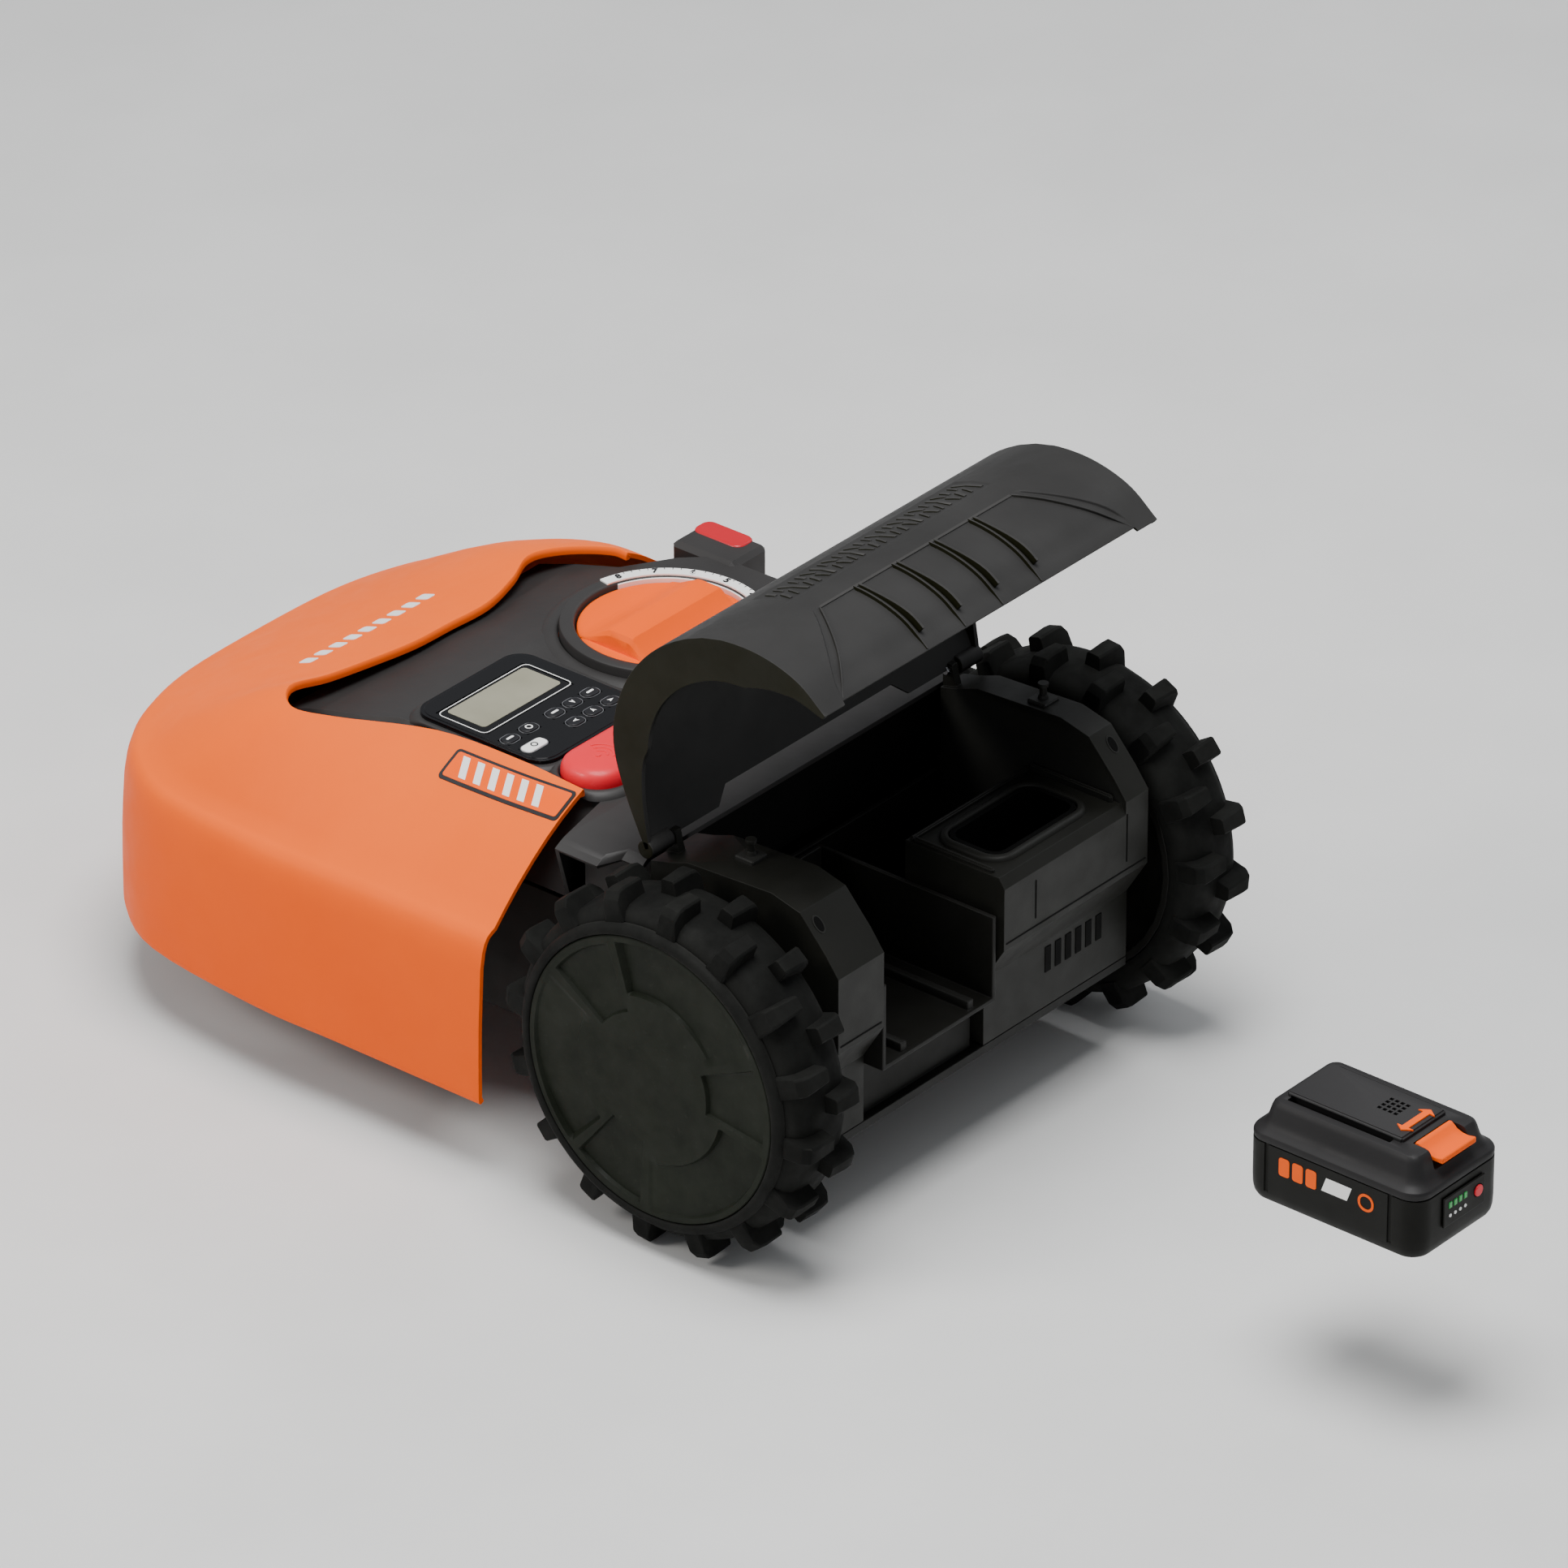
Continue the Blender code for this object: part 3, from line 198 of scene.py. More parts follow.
def rounded_rectangle(centre, size, radius, steps):
    """The outline of a rectangle with round corners, anticlockwise."""
    points = []
    for turn, (sx, sy) in enumerate(((1, 1), (-1, 1), (-1, -1), (1, -1))):
        corner = (centre[0] + sx * (size[0] / 2 - radius), centre[1] + sy * (size[1] / 2 - radius))
        points += [polar(corner, radius, 90 * turn + 90 * k / steps) for k in range(steps + 1)]
    return points


def slab(centre, size, radius, steps, low, high, axis="Z"):
    """A rounded rectangle extruded from low to high."""
    return prism(rounded_rectangle(centre, size, radius, steps), low, high, axis)


def stacked(centre, size, radius, steps, levels, least=(-FAR, -FAR), most=(FAR, FAR)):
    """Rings of a rounded rectangle, one for each (growth, z), clipped to a least and a most."""
    rings = []
    for grow, z in levels:
        outline = rounded_rectangle(centre, [side + 2 * grow for side in size], radius + grow, steps)
        rings.append([(min(max(x, least[0]), most[0]), min(max(y, least[1]), most[1]), z)
                      for x, y in outline])
    return rings


def line_frame(centre, size, radius, width, inner_radius, low, high, axis="Z"):
    """A thin raised line round a rounded rectangle."""
    outer = slab(centre, size, radius, 8, low, high, axis)
    inner_size = [side - 2 * width for side in size]
    return carved(outer, slab(centre, inner_size, inner_radius, 8, low - 1, high + 1, axis))


def ring_sector(centre, inner, outer, start, end, steps):
    """The outline of a part of a ring between two angles."""
    spots = [start + (end - start) * k / steps for k in range(steps + 1)]
    return ([polar(centre, outer, degrees) for degrees in spots]
            + [polar(centre, inner, degrees) for degrees in spots[::-1]])


def carved(bm, *cutters, join=()):
    """The shape with lumps joined on and cutters taken off, by exact Booleans."""
    work = link("carve_work", bm)
    helpers = []
    for operation, shapes in (("UNION", join), ("DIFFERENCE", cutters)):
        for shape in shapes:
            tool = link("carve_tool", shape)
            modifier = work.modifiers.new(operation, "BOOLEAN")
            modifier.operation = operation
            modifier.object = tool
            helpers.append(tool)
    graph = bpy.context.evaluated_depsgraph_get()
    result = bmesh.new()
    result.from_mesh(bpy.data.meshes.new_from_object(work.evaluated_get(graph)))
    for item in (work, *helpers):
        bpy.data.objects.remove(item, do_unlink=True)
    bmesh.ops.dissolve_limit(result, angle_limit=FLAT, verts=result.verts[:],
                             edges=result.edges[:])
    return result


def link(name, bm):
    """A mesh object made from a bmesh, which is used up."""
    mesh = bpy.data.meshes.new(name)
    bm.to_mesh(mesh)
    bm.free()
    return linked(name, mesh)


def linked(name, data):
    """An object that holds the data, put in the scene."""
    made = bpy.data.objects.new(name, data)
    bpy.context.scene.collection.objects.link(made)
    return made


def piece(name, shape, look, node, bevel=0.0, segments=2, wall=0.0, sharp=35, slot=None):
    """A finished piece that stands for a CAD node and rides on its body.

    The shape, or list of shapes, is in millimetres. The slot argument is not used.
    """
    bm = merged(shape) if isinstance(shape, list) else shape
    bmesh.ops.scale(bm, vec=(MM, MM, MM), verts=bm.verts[:])
    bmesh.ops.translate(bm, vec=AXLE, verts=bm.verts[:])
    made = link(name, bm)
    made.data.materials.append(look)
    made.data.shade_smooth()
    made.data.set_sharp_from_angle(angle=math.radians(sharp))
    if wall:
        modifier = made.modifiers.new("wall", "SOLIDIFY")
        modifier.thickness = wall * MM
        modifier.offset = -1
    if bevel:
        modifier = made.modifiers.new("round", "BEVEL")
        modifier.width = bevel * MM
        modifier.segments = segments
        modifier.limit_method = "ANGLE"
        modifier.angle_limit = math.radians(sharp)
        modifier.harden_normals = True
        modifier.use_clamp_overlap = True
    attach(made, BODY_OF[node])
    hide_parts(node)


def softened(node, look, bevel, segments=2, sharp=35):
    """A copy of a CAD node with its edges rounded, which stands for it."""
    bm = bmesh.new()
    bm.from_mesh(frame["nodes"][node].data)
    bmesh.ops.remove_doubles(bm, verts=bm.verts[:], dist=WELD_M)
    bmesh.ops.dissolve_limit(bm, angle_limit=FLAT, verts=bm.verts[:], edges=bm.edges[:])
    bmesh.ops.translate(bm, vec=-AXLE, verts=bm.verts[:])
    bmesh.ops.scale(bm, vec=(1 / MM,) * 3, verts=bm.verts[:])
    piece(f"{node}_fine", bm, look, node, bevel, segments, sharp=sharp)


# ---- finishes

COAT_ROUGHNESS = 0.12
GRAIN_STRETCH = (1, 1, 30)


class Finish:
    """A Principled material whose colour, roughness and normal come from small node chains."""

    def __init__(self, name, roughness, metallic=0.0, specular=0.5, coat=0.0):
        self.material = bpy.data.materials.new(name)
        self.material.use_nodes = True
        self.tree = self.material.node_tree
        self.shader = self.tree.nodes["Principled BSDF"]
        self.set(self.shader, {
            "Roughness": roughness, "Metallic": metallic, "Specular IOR Level": specular,
            "Coat Weight": coat, "Coat Roughness": COAT_ROUGHNESS})
        self.place = self.node("ShaderNodeTexCoord").outputs["Object"]

    def set(self, node, values):
        for name, value in values.items():
            node.inputs[name].default_value = value

    def node(self, kind, **settings):
        made = self.tree.nodes.new(kind)
        for key, value in settings.items():
            setattr(made, key, value)
        return made

    def wire(self, source, target):
        self.tree.links.new(source, target)

    def texture(self, kind, values, place=None):
        """The outputs of a texture node laid over the piece."""
        made = self.node(kind)
        self.set(made, values)
        self.wire(place or self.place, made.inputs["Vector"])
        return made.outputs

    def noise(self, scale, detail, rough=0.55, stretch=None):
        place = None
        if stretch:
            place = self.texture("ShaderNodeMapping", {"Scale": stretch})["Vector"]
        values = {"Scale": scale, "Detail": detail, "Roughness": rough}
        return self.texture("ShaderNodeTexNoise", values, place)["Fac"]

    def ramp(self, source, low, high, low_at=0.35, high_at=0.65):
        """Blends from the low to the high colour as the source goes from low_at to high_at."""
        made = self.node("ShaderNodeValToRGB")
        first, last = made.color_ramp.elements
        first.position, last.position = low_at, high_at
        first.color = (*low, 1.0)
        last.color = (*high, 1.0)
        self.wire(source, made.inputs["Fac"])
        return made.outputs["Color"]

    def span(self, source, low, high, from_low=0.3, from_high=0.7):
        """Maps the source from one range of values to another."""
        made = self.node("ShaderNodeMapRange")
        self.set(made, {"From Min": from_low, "From Max": from_high, "To Min": low, "To Max": high})
        self.wire(source, made.inputs["Value"])
        return made.outputs["Result"]

    def mix(self, factor, first, second):
        """Mixes two colours, each a socket or an (r, g, b)."""
        made = self.node("ShaderNodeMix", data_type="RGBA")
        colours = [socket for socket in made.inputs if socket.type == "RGBA"]
        self.wire(factor, made.inputs["Factor"])
        for socket, value in zip(colours, (first, second)):
            if isinstance(value, tuple):
                socket.default_value = (*value, 1.0)
            else:
                self.wire(value, socket)
        return next(socket for socket in made.outputs if socket.type == "RGBA")

    def facing(self):
        """The X, Y and Z of the way that the surface faces."""
        parts = self.node("ShaderNodeSeparateXYZ")
        self.wire(self.node("ShaderNodeTexCoord").outputs["Normal"], parts.inputs["Vector"])
        return parts.outputs

    def worn(self, amount, low, high):
        """A mask of the outward edges, up to an amount."""
        geometry = self.node("ShaderNodeNewGeometry")
        return self.span(geometry.outputs["Pointiness"], 0.0, amount, low, high)

    def colour(self, source):
        self.wire(source, self.shader.inputs["Base Color"])

    def roughness(self, source, low, high):
        self.wire(self.span(source, low, high), self.shader.inputs["Roughness"])

    def bump(self, *layers):
        """Bump layers, each (height socket, depth in millimetres). It ends the finish."""
        last = None
        for height, depth in layers:
            made = self.node("ShaderNodeBump")
            self.set(made, {"Strength": 1.0, "Distance": depth * MM})
            self.wire(height, made.inputs["Height"])
            if last is not None:
                self.wire(last, made.inputs["Normal"])
            last = made.outputs["Normal"]
        self.wire(last, self.shader.inputs["Normal"])
        return self.material


def moulded(name, colour, roughness, grain, grain_scale, drift, edge, specular=0.5, coat=0.0):
    """Moulded plastic: fine spark-eroded grain, slight tone drift and paler worn edges."""
    made = Finish(name, roughness, specular=specular, coat=coat)
    dark = tuple(c * (1 - drift) for c in colour)
    pale = tuple(min(1.0, c * (1 + drift)) for c in colour)
    worn = tuple(min(1.0, c + edge * (0.35 - 0.3 * c)) for c in colour)
    base = made.ramp(made.noise(14, 4), dark, pale)
    made.colour(made.mix(made.worn(0.6, 0.53, 0.62), base, worn))
    made.roughness(made.noise(60, 5), roughness - 0.05, roughness + 0.07)
    return made.bump((made.noise(grain_scale, 2), grain))


def tyre_rubber():
    """Dark rubber with dusty, paler high spots and fine moulding pores."""
    made = Finish("tyre_rubber_fine", 0.8, specular=0.12)
    base = made.ramp(made.noise(35, 6, 0.65), (0.0035, 0.0037, 0.0033), (0.0085, 0.0088, 0.0078))
    made.colour(made.mix(made.worn(0.5, 0.52, 0.62), base, (0.03, 0.03, 0.027)))
    made.roughness(made.noise(90, 5), 0.68, 0.9)
    return made.bump((made.noise(700, 3), 0.05), (made.noise(120, 4), 0.08))


def cap_plastic():
    """The hub caps' dark olive plastic, lightly scuffed."""
    made = Finish("hub_cap_fine", 0.52, specular=0.1)
    base = made.ramp(made.noise(26, 6, 0.7), (0.0065, 0.0082, 0.0050), (0.0150, 0.0178, 0.0118),
                     0.3, 0.75)
    scuff = made.ramp(made.noise(240, 3, 0.7), (0, 0, 0), (1, 1, 1), 0.6, 0.85)
    made.colour(made.mix(made.span(scuff, 0.0, 0.35, 0.0, 1.0), base, (0.035, 0.039, 0.03)))
    made.roughness(made.noise(70, 5), 0.42, 0.62)
    return made.bump((made.noise(1300, 2), 0.02), (made.noise(30, 3), 0.05))


def metal(name, colour, roughness):
    """Brushed metal with fine lines along its grain."""
    made = Finish(name, roughness, metallic=1.0)
    lines = made.noise(300, 4, 0.6, GRAIN_STRETCH)
    made.colour(made.ramp(lines, tuple(c * 0.86 for c in colour), colour))
    made.roughness(lines, roughness - 0.06, roughness + 0.1)
    return made.bump((lines, 0.01))


def panel_film():
    """Glossy black panel film with a faint waviness and dust-fine speckle."""
    made = Finish("panel_gloss_black", 0.12, specular=0.25, coat=0.1)
    made.colour(made.ramp(made.noise(900, 2), (0.0024, 0.0024, 0.0032), (0.003, 0.003, 0.004)))
    made.roughness(made.noise(45, 4), 0.12, 0.22)
    return made.bump((made.noise(60, 2), 0.01))


def display_face():
    """Grey-green reflective display: a fine dot grid under clear glass."""
    made = Finish("display_face", 0.18, specular=0.3, coat=0.15)
    dots = made.texture("ShaderNodeTexVoronoi", {"Scale": 1500})["Distance"]
    tint = made.ramp(made.noise(18, 3), (0.235, 0.225, 0.165), (0.30, 0.287, 0.215))
    made.colour(made.mix(made.span(dots, 0.0, 0.12, 0.0, 0.8), tint, (0.25, 0.27, 0.21)))
    made.roughness(made.noise(30, 3), 0.14, 0.24)
    return made.bump((made.noise(80, 2), 0.005))


def circuit_board():
    """Green board with a grid of pale copper lines."""
    made = Finish("board_fine", 0.4)
    grid = made.texture("ShaderNodeTexBrick", {
        "Scale": 60, "Color1": (0.01, 0.13, 0.05, 1), "Color2": (0.015, 0.16, 0.06, 1),
        "Mortar": (0.25, 0.22, 0.08, 1), "Mortar Size": 0.012})
    made.colour(grid["Color"])
    made.roughness(made.noise(200, 3), 0.35, 0.5)
    return made.bump((grid["Fac"], 0.05))


def cover_plastic():
    """The cover's dark grey plastic, olive-black on its end faces, with painted shade darkening the
    faces that look down.
    """
    made = Finish("cover_dark_grey", 0.5, specular=0.13)
    facing = made.facing()
    ends = made.node("ShaderNodeMath", operation="ABSOLUTE")
    made.wire(facing["X"], ends.inputs[0])
    mask = made.span(ends.outputs["Value"], 0.0, 1.0, 0.75, 0.9)
    # Painted shade: faces that look down, such as the cover's inside, blend to a near-black olive.
    under = made.span(facing["Z"], 1.0, 0.0, -0.45, -0.05)
    grey = made.ramp(made.noise(14, 4), (0.0235, 0.0230, 0.0225), (0.0300, 0.0294, 0.0288))
    olive = made.ramp(made.noise(22, 4), (0.0065, 0.0066, 0.0016), (0.0085, 0.0086, 0.0024))
    lit = made.mix(made.worn(0.5, 0.53, 0.6), grey, (0.075, 0.073, 0.07))
    made.colour(made.mix(under, made.mix(mask, lit, olive), (0.0034, 0.0036, 0.0022)))
    made.roughness(made.noise(60, 5), 0.46, 0.6)
    return made.bump((made.noise(1500, 2), 0.03), (made.noise(260, 3), 0.015))


def shell_plastic():
    """The shell's orange: deep on its upright sides, with a painted highlight that makes the faces
    looking up a touch paler.
    """
    made = Finish("shell_orange", 0.5, specular=0.06)
    # Painted highlight: faces that look up take a paler orange, as light from above would give them.
    painted_highlight_mask = made.span(made.facing()["Z"], 0.15, 0.75, 0.0, 1.0)
    side = made.ramp(made.noise(14, 4), (0.90, 0.096, 0.0), (0.93, 0.104, 0.0))
    top = made.ramp(made.noise(14, 4), (0.97, 0.155, 0.010), (1.0, 0.165, 0.014))
    made.colour(made.mix(painted_highlight_mask, side, top))
    made.roughness(made.noise(60, 5), 0.45, 0.57)
    return made.bump((made.noise(900, 2), 0.012))


def lamp_plastic():
    """The green of the charge lamps."""
    made = Finish("gauge_green", 0.3)
    made.colour(made.ramp(made.noise(900, 2), (0.02, 0.32, 0.06), (0.04, 0.45, 0.1)))
    made.roughness(made.noise(300, 2), 0.25, 0.35)
    return made.bump((made.noise(500, 2), 0.01))


# The columns of moulded: name, colour, roughness, grain depth in millimetres, grain scale, tone
# drift, edge wear, specular.
ORANGE = shell_plastic()
CONTROL_ORANGE = moulded("control_orange", (0.95, 0.11, 0.0), 0.5, 0.02, 1200, 0.03, 0.03, 0.07)
DARK = moulded("deck_dark_grey", (0.026, 0.0245, 0.024), 0.5, 0.03, 1500, 0.1, 0.1, 0.33)
COVER = cover_plastic()
BLACK = moulded("chassis_black", (0.0066, 0.0064, 0.0052), 0.52, 0.03, 1400, 0.12, 0.06, 0.2)
# Painted light: a paler copy of the chassis black, standing for the light on the housings' tops.
HOUSING = moulded("housing_black", (0.0095, 0.0095, 0.0075), 0.48, 0.03, 1400, 0.12, 0.06, 0.24)
# Deep black: dark joints on the seams, and painted shade in the vent holes, the module pocket and the
# slot floors.
PIT = moulded("deep_black", (0.002, 0.002, 0.0018), 0.7, 0.03, 1400, 0.12, 0.01, 0.08)
PACK_BLACK = moulded("pack_black", (0.0030, 0.0030, 0.0018), 0.45, 0.02, 1700, 0.1, 0.04, 0.14)
PACK_GREY = moulded("pack_grey", (0.015, 0.0143, 0.0147), 0.5, 0.03, 1500, 0.1, 0.06, 0.2)
RED = moulded("button_red", (0.78, 0.012, 0.028), 0.42, 0.015, 1200, 0.04, 0.1, 0.35, coat=0.1)
CONTACT_RED = moulded("contact_red", (0.5, 0.005, 0.016), 0.35, 0.015, 1200, 0.04, 0.06, 0.3, coat=0.1)
WHITE = moulded("scale_white", (0.88, 0.88, 0.86), 0.4, 0.01, 1200, 0.02, 0.0)
INK = moulded("scale_ink", (0.008, 0.008, 0.01), 0.5, 0.01, 1200, 0.02, 0.0)
KEY = moulded("key_dark", (0.009, 0.009, 0.011), 0.4, 0.02, 1500, 0.06, 0.06, 0.3)
LAMP = lamp_plastic()
TYRE = tyre_rubber()
CAP = cap_plastic()
GLOSS = panel_film()
DISPLAY = display_face()
STEEL = metal("brushed_steel_fine", (0.55, 0.55, 0.57), 0.32)
PLATED = metal("contact_bright", (0.8, 0.8, 0.82), 0.18)
CAN = metal("motor_can_fine", (0.42, 0.43, 0.45), 0.4)
BOARD = circuit_board()
MOUNT_RUBBER = moulded("mount_rubber_fine", (0.010, 0.010, 0.010), 0.7, 0.04, 900, 0.1, 0.05, 0.2)


# ---- front shell

RIM_HALF = 197
NOSE_Y = -290
NOSE_REACH = 180
NOSE_POWER = 2 / 2.62
BROW_CREASE_Z = 142
LEFT_EDGE = [(0, -313), (30, -313), (60, -317), (92, -323), (116, -330), (134, -312),
             (128, -285), (105, -231), (102, -174), (106, -124)]
RIGHT_EDGE = [(0, -313), (-30, -311), (-60, -318), (-84, -327), (-102, -318), (-117, -298),
              (-118, -281), (-108, -231), (-104, -174), (-104, -124)]


SHOULDER = (15, 1.8)
OPENING_Z = 206
OPENING_FALL = 8
SHELL_WALL = 3.0
ARM_X = -60
ARM_END_Y = -283
ARM_TOP_Z = 152


def rim_line():
    """Half of the shell's plan from the front centre round the corner and back."""
    points = []
    for degrees in (0, 12, 24, 36, 50, 68, 90):
        a = math.radians(degrees)
        points.append(Vector((RIM_HALF * math.sin(a) ** NOSE_POWER,
                              NOSE_Y - NOSE_REACH * abs(math.cos(a)) ** NOSE_POWER)))
    return points + [Vector((RIM_HALF, y)) for y in (-231, -175, -124)]


def shell_station(rim, edge, side):
    """Outside points of the shell at one station, from the rolled rim to the opening's lip.

    side goes from 0 at the front centre to 1 at the arm's rear end.
    """
    crease = BROW_CREASE_Z + 8 * side
    inward = (edge - rim).normalized()
    reach_in, rise_up = SHOULDER
    low = ((4.5, 46.5), (1.8, 45.2), (0.2, 46.6), (0, 50), (0.1, 70), (0.5, 92), (1.4, 108),
           (2.6, crease - 20), (4.4, crease - 10), (6.2, crease - 5), (8.8, crease - 1.4),
           (12, crease + 0.6), (reach_in, crease + rise_up))
    points = [Vector((*(rim + inward * reach), z)) for reach, z in low]
    start = rim + inward * reach_in
    base = crease + rise_up
    top = OPENING_Z - OPENING_FALL * (1 - side)
    for v in (0.12, 0.26, 0.42, 0.58, 0.74, 0.88, 0.96):
        rise = 1.45 * v - 0.45 * v * v
        points.append(Vector((*start.lerp(edge, v), base + (top - base) * rise)))
    for reach, drop in ((-0.6, -0.2), (0.4, -1.4), (0.7, -3.2), (0.7, -5.2)):
        points.append(Vector((*(edge + inward * reach), top + drop)))
    return points


def fine_front_shell():
    """The orange shell, with a turned-down opening lip. It gives the tree of its outside."""
    rims = rim_line()
    sections = []
    for edge_points, sign in ((LEFT_EDGE, 1), (RIGHT_EDGE, -1)):
        sections.append([
            shell_station(Vector((rim.x * sign, rim.y)), Vector(edge), i / (len(rims) - 1))
            for i, (rim, edge) in enumerate(zip(rims, edge_points))])
    coarse = sections[0][::-1] + sections[1][1:]
    lines = [smooth_line([row[k] for row in coarse], 5) for k in range(len(coarse[0]))]
    rows = [[line[i] for line in lines] for i in range(len(lines[0]))]
    bm = faces_up(loft(rows, ring=False))
    outside = BVHTree.FromBMesh(bm)
    trim_right_arm(bm)
    piece("front_shell_fine", bm, ORANGE, "front_shell", 1.0, 3, SHELL_WALL, 50)
    return outside


def trim_right_arm(bm):
    """Takes the top of the right arm off behind the charging contact."""
    for point, normal in (((0, ARM_END_Y, 0), (0, 1, 0)), ((0, 0, ARM_TOP_Z), (0, 0, 1))):
        near = [f for f in bm.faces if f.calc_center_median().x < ARM_X]
        geometry = near + list({e for f in near for e in f.edges}) + list(
            {v for f in near for v in f.verts})
        bmesh.ops.bisect_plane(bm, geom=geometry, plane_co=point, plane_no=normal)
    gone = []
    for face in bm.faces:
        middle = face.calc_center_median()
        if middle.x < ARM_X and middle.y > ARM_END_Y and middle.z > ARM_TOP_Z:
            gone.append(face)
    bmesh.ops.delete(bm, geom=gone, context="FACES")


# ---- wheels

LUGS = 32
TYRE_PROFILE = ((150, 84), (192.5, 84), (194, 86), (194, 93), (191.5, 97), (187, 99.2), (180, 100),
                (171, 100.2), (162, 100), (155, 99.2), (150.5, 97), (148, 93), (148, 86),
                (149.5, 84))
LUG_BASE = 92.0
LUG_TOE_BASE = 91.0
LUG_CHAMFER = 1.2
CAP_FACE_X = 198.9
CAP_BACK_X = 194.4
CAP_EDGE_X = {85.2: 198.4, 85.4: 197.2}
CAP_RADII = [0.5, 12, 26, 36, 40.2, 41.2, 46, 50.2, 51.4, 56, 62, 68, 74, 79.2, 80.4, 81.6, 84.6,
             85.2, 85.4]
CAP_LIP = ((194.4, 85.8), (198.6, 85.8), (199.5, 86.4), (199.9, 87.4), (199.6, 89), (198.8, 90.6),
           (197.6, 91.6), (196.2, 92), (194.4, 92))
CAP_CHANNELS = 3


def tread_lug(near, far):
    """One chamfered lug across half of the tread, from x near to x far."""
    way = 1 if far > near else -1
    rings = []
    for x, half, high, base in (
            (near, 4.6, 108.9, LUG_BASE), (near + 14 * way, 5.2, 109.3, LUG_BASE),
            (far - 4.5 * way, 5.6, 108.6, LUG_BASE), (far - 1.2 * way, 5.4, 104.5, LUG_BASE),
            (far, 5.0, 94.5, LUG_TOE_BASE)):
        foot, shoulder = half + 1.5, half - LUG_CHAMFER
        rings.append([(x, -foot, base), (x, -half, high - LUG_CHAMFER), (x, -shoulder, high),
                      (x, shoulder, high), (x, half, high - LUG_CHAMFER), (x, foot, base)])
    return loft(rings)


def fine_tyre(side, sign):
    """A tyre with two rows of chamfered lugs that meet at staggered steps in the middle."""
    tyre = turned([(x * sign, r) for x, r in TYRE_PROFILE], (0, 0, AXLE_Z), 128)
    lugs = []
    for i in range(LUGS):
        lug = tread_lug(*((172.5, 196) if i % 2 else (170, 147)))
        if sign < 0:
            lug = mirrored(lug)
        turn = Matrix.Rotation(math.pi * (i + 0.5) / (LUGS / 2), 4, "X")
        bmesh.ops.transform(lug, matrix=Matrix.Translation((0, 0, AXLE_Z)) @ turn,
                            verts=lug.verts[:])
        lugs.append(lug)
    on_wheel = (TYRE, f"{side}_tyre")
    piece(f"{side}_tyre_tread", lugs, *on_wheel, 0.7, 3, sharp=25)
    piece(f"{side}_tyre_carcass", tyre, *on_wheel, sharp=40)


def cap_depth(radius, degrees):
    """How deep the wheel cover is sunk: channels, and ramps that deepen between them."""
    pitch = 360 / CAP_CHANNELS
    turn = (degrees - 8) % pitch
    if turn > pitch / 2:
        turn -= pitch
    if abs(turn) < 17.5:
        channel = smoothstep(radius, 40.2, 41.2) * (1 - smoothstep(radius, 79.2, 80.4))
        return 2.2 * channel * (1 - smoothstep(abs(turn), 15.8, 16.8))
    reach = smoothstep(radius, 50.2, 51.4) * (1 - smoothstep(radius, 80.4, 81.6))
    along = turn if turn > 0 else turn + pitch
    deep = smoothstep(along, 22, 23.2) * (1 - smoothstep(along, 97.4, 98.6))
    return reach * deep * (0.5 + 3.0 * (along - 22) / 76)


def fine_hub_cap(side, sign):
    """The wheel cover: raised outer ring, three channels and ramped fields round the middle."""
    rings = []
    for radius in CAP_RADII:
        ring = []
        for k in range(360):
            depth = cap_depth(radius, k if sign > 0 else 180 - k)
            y, z = polar((0, AXLE_Z), radius, k)
            ring.append(((CAP_EDGE_X.get(radius, CAP_FACE_X) - depth) * sign, y, z))
        rings.append(ring)
    rings.append([(CAP_BACK_X * sign, y, z) for _, y, z in rings[-1]])
    lip = turned([(x * sign, r) for x, r in CAP_LIP], (0, 0, AXLE_Z), 128)
    piece(f"{side}_hub_lip", lip, TYRE, f"{side}_hub_cap", sharp=40)
    piece(f"{side}_hub_cap_fine", loft(rings), CAP, f"{side}_hub_cap", sharp=30)


def fine_wheels():
    """Both drive wheels with their gearboxes, both castors and both hinge pins."""
    for side, sign in (("left", 1), ("right", -1)):
        fine_tyre(side, sign)
        fine_hub_cap(side, sign)
        softened(f"{side}_wheel_rim", BLACK, 0.8)
        softened(f"{side}_drive_axle", STEEL, 0.4)
        softened(f"{side}_castor_fork", BLACK, 1.2)
        softened(f"{side}_castor_wheel", TYRE, 1.0, 3)
        softened(f"{side}_wheel_gearbox", BLACK, 1.0)
        softened(f"{side}_hinge_pin", STEEL, 0.4)


# ---- rear cover

COVER_POINTS = [(-49, 211), (-63, 241), (-71, 268), (-69, 293), (-57, 320), (-35, 343),
                (-5, 358), (27, 361), (56, 354), (77, 339)]
COVER_STEPS = 12
COVER_SPANS = len(COVER_POINTS) - 1
COVER_LINE = smooth_line(COVER_POINTS, COVER_STEPS)
STRIP_START, STRIP_END = 5.5, 6.35
PANEL_START = 6.87


def smoothstep(value, low, high):
    """0 below low, 1 above high, and a soft step between them."""
    t = min(1.0, max(0.0, (value - low) / (high - low)))
    return t * t * (3 - 2 * t)


PANEL_HALF_TOP, PANEL_HALF_LOW = 82, 124
STRIP_HALF = 86.5
FLANGE_X, FLANGE_DEPTH = 140, 25.0
COVER_WALL = 3.0


def on_cover(u, lift):
    """The (y, z) of the cover's outside at span position u, moved outwards by lift."""
    place = min(max(u, 0.0), COVER_SPANS - 0.0001) * COVER_STEPS
    i = int(place)
    here = COVER_LINE[i].lerp(COVER_LINE[i + 1], place - i)
    ahead = COVER_LINE[min(i + 2, len(COVER_LINE) - 1)] - COVER_LINE[max(i - 1, 0)]
    return here + Vector((-ahead.y, ahead.x)).normalized() * lift


